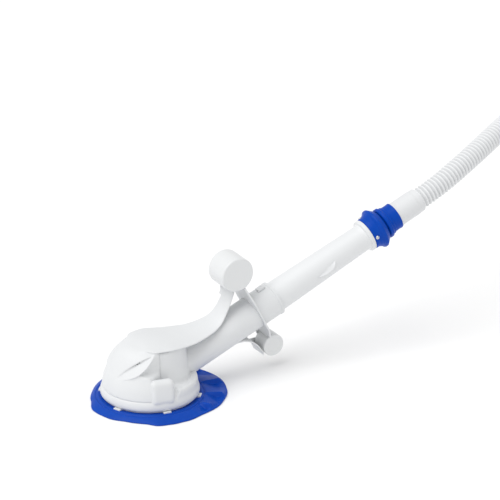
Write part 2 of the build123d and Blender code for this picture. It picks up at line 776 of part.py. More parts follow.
def swivel_sleeve():
    """Turning blue sleeve, caged in the ring, with a spigot for the hose."""
    neck_r = SWIVEL_BORE_R - CLEAR
    flange_end = SLEEVE_FLANGE_AT + SLEEVE_FLANGE_T
    rim_start = SWIVEL_RING_END + 2
    return on_pipe([
        (SLEEVE_BORE_R, SLEEVE_FLANGE_AT),
        (SWIVEL_CAGE_R - CLEAR, SLEEVE_FLANGE_AT),
        (SWIVEL_CAGE_R - CLEAR, flange_end),
        (neck_r, flange_end),
        (neck_r, rim_start),
        (SLEEVE_RIM_R - 1.5, rim_start + 1),
        (SLEEVE_RIM_R, rim_start + 5),
        (SLEEVE_RIM_R - 1.5, rim_start + 10),
        (neck_r + 1, rim_start + 13),
        (neck_r, rim_start + 17),
        (SLEEVE_END_R, SLEEVE_END - 4),
        (SLEEVE_END_R, SLEEVE_END),
        (SPIGOT_TAIL_R, SLEEVE_END),
        (SPIGOT_TAIL_R, SPIGOT_TAIL_END),
        (SLEEVE_BORE_R, SPIGOT_TAIL_END),
    ])


def hose_cuff():
    """Smooth cuff that pushes on the sleeve's spigot and holds the hose."""
    start = SLEEVE_END + 0.1
    step = HOSE_START - FIT
    return on_pipe([
        (SPIGOT_TAIL_R + FIT, start),
        (CUFF_R + 0.4, start),
        (CUFF_R, start + 12),
        (CUFF_R, CUFF_END - 16),
        (CUFF_R - 0.6, CUFF_END - 15),
        (CUFF_R - 0.6, CUFF_END),
        (HOSE_R + FIT, CUFF_END),
        (HOSE_R + FIT, step),
        (SPIGOT_TAIL_R + FIT, step),
    ])


def hose_radii(points):
    """Arc radius at each inner point: 0.45 of the shorter run over the half turn."""
    radii = []
    for before, here, after in zip(points, points[1:], points[2:]):
        run_in = Vector(*here) - Vector(*before)
        run_out = Vector(*after) - Vector(*here)
        shorter = min(run_in.length, run_out.length)
        radii.append(0.45 * shorter / tan(radians(run_in.get_angle(run_out)) / 2))
    return radii


def hose():
    """Plain tube along the route, with the length and the radii printed."""
    radii = hose_radii(HOSE_ROUTE)
    path = FilletPolyline(*HOSE_ROUTE, radius=radii)
    section = Plane(origin=path @ 0, z_dir=path % 0) * (Circle(HOSE_R) - Circle(HOSE_R - HOSE_WALL))
    tube = sweep(section, path=path)
    area = pi * (HOSE_R ** 2 - (HOSE_R - HOSE_WALL) ** 2)
    print("hose radii", [round(radius) for radius in radii])
    print("hose length", round(path.length, 1), "volume over section times length",
          round(tube.volume / (area * path.length), 4))
    return tube


def hose_end_cuff():
    """Socket cuff on the hose's far end, resting on the floor."""
    end = Vector(*HOSE_ROUTE[-1])
    way = (end - Vector(*HOSE_ROUTE[-2])).normalized()
    base = Plane(origin=end - way * END_CUFF_OVERLAP, z_dir=way)
    stop = END_CUFF_OVERLAP + FIT
    socket_start = END_CUFF_LENGTH - SOCKET_LENGTH
    return base * turned([
        (HOSE_R + FIT, 0),
        (END_CUFF_R - 1, 0),
        (END_CUFF_R - 1, END_CUFF_LENGTH - 8),
        (END_CUFF_R, END_CUFF_LENGTH - 7),
        (END_CUFF_R, END_CUFF_LENGTH),
        (SOCKET_R, END_CUFF_LENGTH),
        (SOCKET_R, socket_start),
        (HOSE_R - HOSE_WALL, socket_start - 1),
        (HOSE_R - HOSE_WALL, stop),
        (HOSE_R + FIT, stop),
    ])


PARTS = {
    "lower_housing": lower_housing,
    "head_cover": head_cover,
    "foot_pad": foot_pad,
    "foot_retainer": foot_retainer,
    "disc_skirt": disc_skirt,
    "ballast_weight": ballast,
    "ballast_screws": ballast_screws,
    "foam_float": foam_float,
    "body_tube": body_tube,
    "collar_latch": collar_latch,
    "outer_pipe": outer_pipe,
    "pipe_seal": pipe_seal,
    "inner_pipe": inner_pipe,
    "diaphragm_cassette": diaphragm_cassette,
    "diaphragm": diaphragm,
    "compression_ring": compression_ring,
    "retaining_ring": retaining_ring,
    "top_roller": lambda: roller(TOP_ROLLER, TOP_ROLLER_R, TOP_ROLLER_LENGTH),
    "top_roller_axle": lambda: axle(TOP_ROLLER, TOP_ROLLER_LENGTH, TOP_OUTER_EAR_Y + EAR_T),
    "lower_roller": lambda: roller(LOW_ROLLER, LOW_ROLLER_R, LOW_ROLLER_LENGTH),
    "lower_roller_axle": lambda: axle(LOW_ROLLER, LOW_ROLLER_LENGTH, LOW_EAR_Y + EAR_T),
    "axle_clips": axle_clips,
    "roller_bracket": roller_bracket,
    "swivel_ring": swivel_ring,
    "swivel_screws": swivel_screws,
    "swivel_washer": swivel_washer,
    "swivel_seal": swivel_seal,
    "swivel_sleeve": swivel_sleeve,
    "hose_cuff": hose_cuff,
    "hose": hose,
    "hose_end_cuff": hose_end_cuff,
}

os.makedirs("parts", exist_ok=True)
for name, make in PARTS.items():
    export_step(make(), f"parts/{name}.step")
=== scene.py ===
"""Looks of a suction-side pool cleaner with deflector rollers and a corrugated hose.

Sizes inside the classes are millimetres, in the CAD model's frame, and each mesh is
scaled to metres when it becomes a piece.
"""
import json
import logging
import math
from dataclasses import dataclass, field
from enum import Enum
from typing import Any, Callable, Sequence

import bmesh
import bpy
from mathutils import Matrix, Vector
from mathutils.kdtree import KDTree
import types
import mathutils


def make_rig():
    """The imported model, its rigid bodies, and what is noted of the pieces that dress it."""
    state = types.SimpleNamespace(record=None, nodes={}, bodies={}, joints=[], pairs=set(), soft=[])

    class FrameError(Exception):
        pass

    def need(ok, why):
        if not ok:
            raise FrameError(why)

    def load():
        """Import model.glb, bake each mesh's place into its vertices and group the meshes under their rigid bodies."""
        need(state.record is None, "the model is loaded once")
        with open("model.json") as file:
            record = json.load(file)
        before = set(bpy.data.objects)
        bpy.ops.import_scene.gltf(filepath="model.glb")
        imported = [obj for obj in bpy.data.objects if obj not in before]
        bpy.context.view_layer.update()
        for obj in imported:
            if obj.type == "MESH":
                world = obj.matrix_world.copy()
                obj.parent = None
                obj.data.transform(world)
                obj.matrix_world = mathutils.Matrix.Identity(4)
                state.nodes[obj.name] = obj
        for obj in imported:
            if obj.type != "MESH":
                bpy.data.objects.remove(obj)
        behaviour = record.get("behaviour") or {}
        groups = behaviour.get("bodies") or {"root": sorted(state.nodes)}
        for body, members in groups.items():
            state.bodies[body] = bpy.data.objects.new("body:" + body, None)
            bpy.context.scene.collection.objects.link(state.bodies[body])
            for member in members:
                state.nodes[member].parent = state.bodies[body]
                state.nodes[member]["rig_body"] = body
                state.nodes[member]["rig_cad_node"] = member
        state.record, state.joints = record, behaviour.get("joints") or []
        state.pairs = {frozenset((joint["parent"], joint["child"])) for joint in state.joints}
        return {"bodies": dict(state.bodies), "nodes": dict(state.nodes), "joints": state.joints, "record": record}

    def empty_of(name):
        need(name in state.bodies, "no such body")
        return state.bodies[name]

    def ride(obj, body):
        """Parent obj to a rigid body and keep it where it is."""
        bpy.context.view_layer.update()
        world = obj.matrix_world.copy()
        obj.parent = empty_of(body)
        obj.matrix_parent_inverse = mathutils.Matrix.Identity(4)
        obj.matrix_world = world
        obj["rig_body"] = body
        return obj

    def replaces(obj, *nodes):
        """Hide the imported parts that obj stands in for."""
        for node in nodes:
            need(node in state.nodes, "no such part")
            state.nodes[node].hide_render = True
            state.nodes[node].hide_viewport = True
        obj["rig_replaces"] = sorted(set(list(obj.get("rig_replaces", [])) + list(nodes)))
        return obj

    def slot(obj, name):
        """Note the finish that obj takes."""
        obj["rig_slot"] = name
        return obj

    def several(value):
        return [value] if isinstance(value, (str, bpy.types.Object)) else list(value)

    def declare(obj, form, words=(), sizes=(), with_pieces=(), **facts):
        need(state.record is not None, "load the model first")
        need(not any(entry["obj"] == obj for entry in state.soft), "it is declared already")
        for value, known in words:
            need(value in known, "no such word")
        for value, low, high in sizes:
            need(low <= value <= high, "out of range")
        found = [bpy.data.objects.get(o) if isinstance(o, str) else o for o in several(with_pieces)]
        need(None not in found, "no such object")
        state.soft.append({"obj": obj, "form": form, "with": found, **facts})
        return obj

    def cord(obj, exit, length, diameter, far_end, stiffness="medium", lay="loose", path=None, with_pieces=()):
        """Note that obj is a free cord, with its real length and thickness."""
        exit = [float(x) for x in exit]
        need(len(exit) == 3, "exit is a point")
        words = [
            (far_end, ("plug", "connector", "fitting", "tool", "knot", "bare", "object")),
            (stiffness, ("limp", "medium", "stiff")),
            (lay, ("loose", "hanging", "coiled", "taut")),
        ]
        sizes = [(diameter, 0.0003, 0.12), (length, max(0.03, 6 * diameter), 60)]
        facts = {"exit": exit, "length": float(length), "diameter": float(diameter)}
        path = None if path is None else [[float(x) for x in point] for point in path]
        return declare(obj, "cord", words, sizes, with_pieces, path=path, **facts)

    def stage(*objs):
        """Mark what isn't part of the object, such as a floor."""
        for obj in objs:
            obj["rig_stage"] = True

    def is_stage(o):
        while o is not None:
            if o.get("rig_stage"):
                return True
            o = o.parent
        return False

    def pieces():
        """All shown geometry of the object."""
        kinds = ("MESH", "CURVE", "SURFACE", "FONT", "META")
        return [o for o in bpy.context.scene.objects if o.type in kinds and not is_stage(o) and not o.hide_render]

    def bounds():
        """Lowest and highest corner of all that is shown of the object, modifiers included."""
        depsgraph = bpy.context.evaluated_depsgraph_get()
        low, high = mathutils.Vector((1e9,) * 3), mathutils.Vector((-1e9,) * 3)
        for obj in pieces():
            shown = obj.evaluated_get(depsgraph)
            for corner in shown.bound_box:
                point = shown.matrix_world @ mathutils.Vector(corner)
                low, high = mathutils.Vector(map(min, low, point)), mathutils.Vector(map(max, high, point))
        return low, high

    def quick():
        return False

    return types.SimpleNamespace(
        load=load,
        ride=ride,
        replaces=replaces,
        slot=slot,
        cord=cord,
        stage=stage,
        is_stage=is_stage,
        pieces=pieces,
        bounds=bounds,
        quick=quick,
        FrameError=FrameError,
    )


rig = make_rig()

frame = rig.load()
LOG = logging.getLogger("pool_cleaner")
SIZE_FILE = "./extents.json"
MM = 0.001
TAU = 2 * math.pi
TIP_MERGE = 0.02
Point = tuple[float, float]
Mesh = bmesh.types.BMesh
Surface = Callable[[float, float], Vector]


class Body(Enum):
    """Moving bodies of the cleaner."""

    CLEANER = "cleaner"
    FOOT = "foot"
    FRONT_ROLLER = "front_roller"
    REAR_ROLLER = "rear_roller"
    HOSE = "hose_body"


class Closing(Enum):
    """Which directions of a mapped grid join up with themselves."""

    NONE = (False, False)
    AROUND = (False, True)
    BOTH = (True, True)


# ---------------------------------------------------------------- shader graph
class Link:
    """One output socket, with operators that add Math nodes."""

    def __init__(self, graph: "Graph", socket: bpy.types.NodeSocket) -> None:
        """Keep the graph and the socket."""
        self.graph = graph
        self.socket = socket

    def _math(self, operation: str, first: Any, second: Any) -> "Link":
        """Add one Math node."""
        return self.graph.node("ShaderNodeMath", {"operation": operation}, {0: first, 1: second})

    def __add__(self, other: Any) -> "Link":
        """Sum."""
        return self._math("ADD", self, other)

    __radd__ = __add__

    def __mul__(self, other: Any) -> "Link":
        """Product."""
        return self._math("MULTIPLY", self, other)

    __rmul__ = __mul__

    def __sub__(self, other: Any) -> "Link":
        """Difference."""
        return self._math("SUBTRACT", self, other)

    def __rsub__(self, other: Any) -> "Link":
        """Reflected difference, for 1 - mask."""
        return self._math("SUBTRACT", other, self)

    def __pow__(self, other: Any) -> "Link":
        """Power."""
        return self._math("POWER", self, other)


class Graph:
    """Node tree of one material."""

    def __init__(self, name: str) -> None:
        """Start an empty material with its output.

        Args:
            name: the material's name.
        """
        self.material = bpy.data.materials.new(name)
        self.material.use_nodes = True
        self.tree = self.material.node_tree
        self.tree.nodes.clear()
        self.output = self.tree.nodes.new("ShaderNodeOutputMaterial")

    def node(self, kind: str, settings: dict[str, Any] | None = None,
             inputs: dict[Any, Any] | None = None, out: Any = 0) -> Link:
        """Add a node.

        Args:
            kind: Blender's node type.
            settings: properties set before the sockets; "stops" fills a colour ramp.
            inputs: values or links, by socket name or number.
            out: name or number of the output to return.

        Returns:
            The chosen output.
        """
        made = self.tree.nodes.new(kind)
        for key, value in (settings or {}).items():
            if key == "stops":
                for index, (place, colour) in enumerate(value):
                    ramp = made.color_ramp.elements
                    stop = ramp[index] if index < len(ramp) else ramp.new(place)
                    stop.position = place
                    stop.color = (*colour, 1.0)
            else:
                setattr(made, key, value)
        for key, value in (inputs or {}).items():
            if isinstance(value, Link):
                self.tree.links.new(value.socket, made.inputs[key])
            else:
                made.inputs[key].default_value = value
        return Link(self, made.outputs[out])

    def place(self, stretch: Sequence[float] = (1, 1, 1)) -> Link:
        """Object coordinates, stretched along the axes."""
        here = self.node("ShaderNodeTexCoord", out="Object")
        return self.node("ShaderNodeMapping", None, {"Vector": here, "Scale": tuple(stretch)})

    def noise(self, scale: float, detail: float, where: Link) -> Link:
        """Noise value from 0 to 1 at one scale, in cells per metre."""
        inputs = {"Vector": where, "Scale": scale, "Detail": detail, "Roughness": 0.55}
        return self.node("ShaderNodeTexNoise", None, inputs, "Fac")

    def mix(self, share: Link, dark: Sequence[float], light: Sequence[float]) -> Link:
        """Colour between two colours."""
        made = {"data_type": "RGBA", "clamp_factor": True}
        return self.node("ShaderNodeMix", made, {0: share, 6: (*dark, 1), 7: (*light, 1)}, 2)

    def bump(self, height: Link, strength: float, distance: float) -> Link:
        """Normal from a height, with the distance in metres."""
        inputs = {"Height": height, "Strength": strength, "Distance": distance}
        return self.node("ShaderNodeBump", None, inputs)

    def close(self, inputs: dict[str, Any]) -> bpy.types.Material:
        """Finish with a Principled shader and return the material."""
        shader = self.node("ShaderNodeBsdfPrincipled", None, inputs)
        self.tree.links.new(shader.socket, self.output.inputs["Surface"])
        return self.material


# ---------------------------------------------------------------- finishes
@dataclass(frozen=True)
class Finish:
    """Slot that a finish dresses, and its two close colours."""

    slot: str
    dark: tuple[float, float, float]
    light: tuple[float, float, float]


@dataclass(frozen=True)
class MouldedPlastic(Finish):
    """Injection-moulded plastic with a faint texture and slightly uneven gloss.

    Fields hold the roughness and its spread, the grain in cells per metre and its
    depth in metres, and how the texture is stretched.
    """

    roughness: float = 0.3
    spread: float = 0.08
    grain: float = 900.0
    depth: float = 0.00012
    coat: float = 0.15
    shine: float = 0.5
    stretch: tuple[float, float, float] = (1.0, 1.0, 1.0)

    def material(self) -> bpy.types.Material:
        """Build the material."""
        graph = Graph(self.slot)
        where = graph.place(self.stretch)
        cloud = graph.noise(14.0, 3.0, where)
        fine = graph.noise(self.grain, 2.0, where)
        flow = graph.noise(55.0, 4.0, where)
        return graph.close({
            "Base Color": graph.mix(cloud * 0.7 + flow * 0.3, self.dark, self.light),
            "Roughness": flow * self.spread + fine * 0.04 + (self.roughness - 0.06),
            "Normal": graph.bump(fine * 0.6 + flow * 0.4, 0.25, self.depth),
            "Specular IOR Level": self.shine,
            "Coat Weight": self.coat,
            "Coat Roughness": 0.25,
        })


@dataclass(frozen=True)
class FlexibleRubber(Finish):
    """Soft moulded rubber or vinyl with fine scuffs and a leathery grain."""

    roughness: float = 0.42
    grain: float = 1500.0
    shine: float = 0.5

    def material(self) -> bpy.types.Material:
        """Build the material."""
        graph = Graph(self.slot)
        where = graph.place()
        cloud = graph.noise(22.0, 4.0, where)
        fine = graph.noise(self.grain, 3.0, where)
        scuff = graph.noise(160.0, 6.0, graph.place((1.0, 0.25, 1.0)))
        marks = scuff ** 4.0
        return graph.close({
            "Base Color": graph.mix(cloud * 0.6 + marks * 1.2, self.dark, self.light),
            "Roughness": cloud * 0.1 + marks * 0.5 + (self.roughness - 0.08),
            "Normal": graph.bump(fine * 0.5 + scuff * 0.5, 0.3, 0.0002),
            "Specular IOR Level": self.shine,
        })


@dataclass(frozen=True)
class TurnedMetal(Finish):
    """Metal with fine turning or casting marks."""

    metallic: float = 1.0
    roughness: float = 0.28
    grain: float = 2500.0
    depth: float = 0.0001

    def material(self) -> bpy.types.Material:
        """Build the material."""
        graph = Graph(self.slot)
        lines = graph.noise(self.grain, 2.0, graph.place((1.0, 0.06, 1.0)))
        cloud = graph.noise(60.0, 3.0, graph.place())
        return graph.close({
            "Base Color": graph.mix(cloud, self.dark, self.light),
            "Roughness": lines * 0.2 + (self.roughness - 0.1),
            "Normal": graph.bump(lines, 0.3, self.depth),
            "Metallic": self.metallic,
        })


@dataclass(frozen=True)
class RibbedVinyl(Finish):
    """Hose vinyl, duller in the grooves, with painted shade that greys the grooves' colour."""

    roughness: float = 0.42
    grain: float = 600.0

    def material(self) -> bpy.types.Material:
        """Build the material."""
        graph = Graph(self.slot)
        groove = graph.node("ShaderNodeAttribute", {"attribute_name": "groove"}, None, "Fac")
        fine = graph.noise(self.grain, 2.0, graph.place())
        return graph.close({
            # painted shade: the base colour darkens with the groove depth
            "Base Color": graph.mix(1 - (groove * 0.9 + fine * 0.1), self.dark, self.light),
            "Roughness": groove * 0.25 + self.roughness,
            "Normal": graph.bump(fine, 0.2, 0.0001),
        })


@dataclass(frozen=True)
class CellFoam(Finish):
    """Closed-cell foam."""

    def material(self) -> bpy.types.Material:
        """Build the material."""
        graph = Graph(self.slot)
        cells = graph.node("ShaderNodeTexVoronoi", None, {"Vector": graph.place(), "Scale": 700.0})
        return graph.close({
            "Base Color": graph.mix(cells, self.dark, self.light),
            "Roughness": 0.85,
            "Normal": graph.bump(1 - cells, 0.6, 0.0004),
        })


FINISHES: dict[str, Any] = {
    finish.slot: finish
    for finish in (
        MouldedPlastic("white_shell", (0.72, 0.735, 0.745), (0.765, 0.775, 0.785), 0.46,
                       coat=0.0, shine=0.35),
        MouldedPlastic("white_pipe", (0.75, 0.765, 0.775), (0.79, 0.80, 0.81), 0.42,
                       coat=0.0, stretch=(0.3, 1, 1)),
        MouldedPlastic("white_roller", (0.74, 0.755, 0.76), (0.78, 0.79, 0.795), 0.36),
        # white_hose: dark is the painted shade deep in the grooves, light is the ridges
        RibbedVinyl("white_hose", (0.62, 0.63, 0.64), (0.86, 0.87, 0.88)),
        MouldedPlastic("blue_swivel", (0.0005, 0.045, 0.36), (0.001, 0.070, 0.48), 0.36,
                       coat=0.0, shine=0.12),
        MouldedPlastic("bearing_plastic", (0.66, 0.67, 0.66), (0.74, 0.74, 0.72), 0.45),
        FlexibleRubber("blue_skirt", (0.0005, 0.046, 0.36), (0.002, 0.075, 0.50), shine=0.15),
        FlexibleRubber("black_rubber", (0.012, 0.012, 0.013), (0.04, 0.04, 0.042), 0.55),
        TurnedMetal("stainless", (0.58, 0.59, 0.60), (0.74, 0.75, 0.76)),
        TurnedMetal("ballast_metal", (0.10, 0.105, 0.11), (0.20, 0.205, 0.21), 0.4, 0.55, 500.0, 0.0006),
        CellFoam("foam", (0.36, 0.38, 0.39), (0.56, 0.58, 0.59)),
    )
}


class Paintbox:
    """Makes each finish's material once."""

    def __init__(self) -> None:
        """Start empty."""
        self.made: dict[str, bpy.types.Material] = {}

    def get(self, slot: str) -> bpy.types.Material:
        """Return the material of a slot."""
        if slot not in self.made:
            self.made[slot] = FINISHES[slot].material()
        return self.made[slot]


PAINT = Paintbox()


# ---------------------------------------------------------------- mesh tools
def turned(degrees: float, axis: str) -> Matrix:
    """Rotation about a main axis."""
    return Matrix.Rotation(math.radians(degrees), 4, axis)


def rounded(points: Sequence[Point], radius: float, steps: int = 4) -> list[Point]:
    """Round every corner of a closed outline.

    Args:
        points: corners in order.
        radius: wanted radius, limited by the edges beside each corner.
        steps: segments in each arc.

    Returns:
        The outline with arcs. Corners on the spin axis stay sharp.
    """
    made: list[Point] = []
    count = len(points)
    for index, here in enumerate(points):
        corner = Vector(here)
        before = Vector(points[index - 1]) - corner
        after = Vector(points[(index + 1) % count]) - corner
        half = before.angle(after) / 2
        reach = min(radius / math.tan(half), 0.42 * before.length, 0.42 * after.length)
        if abs(here[0]) < 1e-6 or half > 1.5 or reach < 1e-6:
            made.append(here)
            continue
        start = corner + before.normalized() * reach
        end = corner + after.normalized() * reach
        for step in range(steps + 1):
            share = step / steps
            arc = (1 - share) ** 2 * start + 2 * share * (1 - share) * corner + share ** 2 * end
            made.append((arc.x, arc.y))
    return made


def smooth_line(points: Sequence[Sequence[float]], share: float) -> Vector:
    """Point on a Catmull-Rom line through the points, for a share from 0 to 1."""
    spans = len(points) - 1
    place = min(max(share, 0.0), 1.0) * spans
    index = min(int(place), spans - 1)
    t = place - index
    p1, p2 = Vector(points[index]), Vector(points[index + 1])
    p0 = Vector(points[index - 1]) if index else 2 * p1 - p2
    p3 = Vector(points[index + 2]) if index + 2 <= spans else 2 * p2 - p1
    return 0.5 * (2 * p1 + (p2 - p0) * t + (2 * p0 - 5 * p1 + 4 * p2 - p3) * t ** 2
                  + (3 * p1 - 3 * p2 + p3 - p0) * t ** 3)


def line_points(points: Sequence[Point], steps: int) -> list[Point]:
    """Even steps along the smooth line through flat points."""
    return [tuple(smooth_line(points, step / steps)) for step in range(steps + 1)]


def ease(low: float, high: float, value: float) -> float:
    """Smooth step from 0 at low to 1 at high."""
    share = min(max((value - low) / (high - low), 0.0), 1.0)
    return share * share * (3 - 2 * share)


def spun(points: Sequence[Point], steps: int = 96, closed: bool = True) -> Mesh:
    """Spin a (radius, height) outline about Z.

    Args:
        points: the outline.
        steps: segments round the axis.
        closed: whether the outline joins its start.

    Returns:
        A mesh with its normals facing out.
    """
    mesh = bmesh.new()
    verts = [mesh.verts.new((radius, 0, height)) for radius, height in points]
    pairs = list(zip(verts, verts[1:]))
    if closed and not (abs(points[0][0]) < 1e-6 and abs(points[-1][0]) < 1e-6):
        pairs.append((verts[-1], verts[0]))
    edges = [mesh.edges.new(pair) for pair in pairs]
    bmesh.ops.spin(mesh, geom=verts + edges, axis=(0, 0, 1), cent=(0, 0, 0), angle=TAU,
                   steps=steps, use_merge=True)
    tidy(mesh)
    return mesh


def tidy(mesh: Mesh) -> None:
    """Merge doubles and face the normals outwards."""
    bmesh.ops.remove_doubles(mesh, verts=mesh.verts, dist=1e-4)
    bmesh.ops.recalc_face_normals(mesh, faces=mesh.faces)


def mapped(along: int, around: int, place: Surface, closing: Closing = Closing.NONE) -> Mesh:
    """Shape a grid by a function of two shares from 0 to 1."""
    mesh = bmesh.new()
    bmesh.ops.create_grid(mesh, x_segments=along, y_segments=around, size=0.5)
    for vert in mesh.verts:
        vert.co = place(vert.co.x + 0.5, vert.co.y + 0.5)
    if any(closing.value):
        tidy(mesh)
    return mesh


def fresh(grown: dict[str, Any], kind: type) -> list[Any]:
    """New elements of one kind that an extrusion made."""
    return [item for item in grown["geom"] if isinstance(item, kind)]


def prism(ring: Sequence[Sequence[float]], way: Sequence[float]) -> Mesh:
    """Closed solid from a flat ring of points to the same ring further along."""
    mesh = bmesh.new()
    face = mesh.faces.new([mesh.verts.new(point) for point in ring])
    grown = bmesh.ops.extrude_face_region(mesh, geom=[face])
    bmesh.ops.translate(mesh, verts=fresh(grown, bmesh.types.BMVert), vec=way)
    tidy(mesh)
    return mesh


def thickened(skin: Mesh, wall: float, merge: float = 0.0) -> Mesh:
    """Give an open skin a wall, once points closer than a distance are merged."""
    if merge:
        bmesh.ops.remove_doubles(skin, verts=skin.verts, dist=merge)
    bmesh.ops.recalc_face_normals(skin, faces=skin.faces)
    bmesh.ops.solidify(skin, geom=skin.faces, thickness=wall)
    tidy(skin)
    return skin


def plate(outline: Sequence[Point], thickness: float, edge: float) -> Mesh:
    """Flat plate in XY, centred on Z, with bevelled edges."""
    mesh = prism([(x, y, -thickness / 2) for x, y in outline], (0, 0, thickness))
    if edge > 0:
        soften(mesh, edge)
    return mesh


def soften(mesh: Mesh, width: float, angle: float = 30.0, segments: int = 3) -> None:
    """Bevel the edges that are sharper than an angle in degrees."""
    edges = [edge for edge in mesh.edges if edge.calc_face_angle(0.0) > math.radians(angle)]
    bmesh.ops.bevel(mesh, geom=edges, offset=width, offset_type="OFFSET", affect="EDGES",
                    segments=segments, profile=0.5, material=-1, clamp_overlap=True)


def block(size: Sequence[float], edge: float, segments: int = 4) -> Mesh:
    """Box about the origin with rounded edges."""
    mesh = bmesh.new()
    bmesh.ops.create_cube(mesh, size=1.0, matrix=Matrix.Diagonal((*size, 1)))
    soften(mesh, edge, segments=segments)
    return mesh


def moved(mesh: Mesh, place: Matrix) -> Mesh:
    """Transform a whole mesh and return it."""
    bmesh.ops.transform(mesh, matrix=place, verts=mesh.verts)
    return mesh


def flipped(mesh: Mesh) -> Mesh:
    """Mirror a whole mesh across the XZ plane and return it."""
    moved(mesh, Matrix.Scale(-1, 4, (0, 1, 0)))
    bmesh.ops.recalc_face_normals(mesh, faces=mesh.faces)
    return mesh


def joined(meshes: Sequence[Mesh]) -> Mesh:
    """Put several meshes into one."""
    whole = bmesh.new()
    for mesh in meshes:
        data = stored("part", mesh)
        whole.from_mesh(data)
        bpy.data.meshes.remove(data)
    return whole


def evaluated(piece: bpy.types.Object) -> Mesh:
    """Apply an object's modifiers, remove the object and return its mesh."""
    bpy.context.view_layer.update()
    final = piece.evaluated_get(bpy.context.evaluated_depsgraph_get())
    mesh = bmesh.new()
    mesh.from_mesh(final.to_mesh())
    data = piece.data
    bpy.data.objects.remove(piece)
    bpy.data.meshes.remove(data)
    return mesh


def stored(name: str, mesh: Mesh) -> bpy.types.Mesh:
    """Turn a mesh in the making into mesh data."""
    data = bpy.data.meshes.new(name)
    mesh.to_mesh(data)
    mesh.free()
    return data


def linked(name: str, data: bpy.types.ID) -> bpy.types.Object:
    """New object in the scene for mesh, curve, camera or light data."""
    thing = bpy.data.objects.new(name, data)
    bpy.context.collection.objects.link(thing)
    return thing


def added(name: str, mesh: Mesh) -> bpy.types.Object:
    """New object in the scene that holds a mesh."""
    return linked(name, stored(name, mesh))


def cut(mesh: Mesh, tool: Mesh) -> Mesh:
    """Cut one closed mesh out of another."""
    body, knife = added("body", mesh), added("knife", tool)
    step = body.modifiers.new("cut", "BOOLEAN")
    step.operation = "DIFFERENCE"
    step.object = knife
    step.solver = "EXACT"
    made = evaluated(body)
    bpy.data.objects.remove(knife)
    return made


def fused(mesh: Mesh, cell: float, rounds: int) -> Mesh:
    """Melt overlapping closed shapes into one smooth moulding.

    Args:
        mesh: the shapes.
        cell: size of the remesh cell.
        rounds: smoothing passes.

    Returns:
        The moulding.
    """
    body = added("moulding", mesh)
    step = body.modifiers.new("melt", "REMESH")
    step.mode = "VOXEL"
    step.voxel_size = cell
    made = evaluated(body)
    for _ in range(rounds):
        bmesh.ops.smooth_vert(made, verts=made.verts, factor=0.5, use_axis_x=True, use_axis_y=True,
                              use_axis_z=True)
    return made


@dataclass
class Piece:
    """How a finished mesh joins the model."""

    name: str
    slot: str
    body: Body
    nodes: tuple[str, ...] = ()
    sharp: float = 35.0
    weighted: bool = True

    def finish(self, mesh: Mesh) -> bpy.types.Object:
        """Scale to metres, shade, dress and place the piece.

        Args:
            mesh: the mesh in millimetres.

        Returns:
            The new object.
        """
        moved(mesh, Matrix.Scale(MM, 4))
        piece = added(self.name, mesh)
        data = piece.data
        data.shade_smooth()
        data.set_sharp_from_angle(angle=math.radians(self.sharp))
        if self.weighted:
            even = piece.modifiers.new("even", "WEIGHTED_NORMAL")
            even.keep_sharp = True
        data.materials.append(PAINT.get(self.slot))
        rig.ride(piece, self.body.value)
        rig.slot(piece, self.slot)
        if self.nodes:
            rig.replaces(piece, *self.nodes)
        LOG.info("%s: %d faces", self.name, len(data.polygons))
        return piece


@dataclass
class PipeAxis:
    """The inclined axis that the tube, pipe, swivel and cuff share."""

    place: Matrix = field(init=False)

    def __post_init__(self) -> None:
        """Read the axis from the swivel's joint."""
        joint = joint_named("hose_swivel")
        way = Vector(joint["axis"]).normalized()
        at = Vector(joint["pos_m"]) / MM
        base = at - way * (at.x / way.x)
        across = Vector((0, -1, 0))
        up = across.cross(way)
        turn = Matrix((up, across, way)).transposed()
        self.place = Matrix.Translation(base) @ turn.to_4x4()

    def spun(self, points: Sequence[Point], steps: int = 96) -> Mesh:
        """Spin a (radius, distance) outline about the axis."""
        return moved(spun(points, steps), self.place)

    def at(self, distance: float, turn: float, radius: float) -> Matrix:
        """Place on a cylinder about the axis, with X pointing out and Z along the axis."""
        spin = turned(turn, "Z")
        return self.place @ Matrix.Translation((0, 0, distance)) @ spin @ Matrix.Translation((radius, 0, 0))


def joint_named(name: str) -> dict[str, Any]:
    """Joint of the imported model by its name."""
    return next(joint for joint in frame["joints"] if joint["name"] == name)


def centre_of(joint: str) -> Vector:
    """A joint's place in millimetres."""
    return Vector(joint_named(joint)["pos_m"]) / MM


def across_y(centre: Vector) -> Matrix:
    """Place with local Z along -Y, at a roller's centre."""
    return Matrix.Translation((centre.x, 0, centre.z)) @ turned(90, "X")


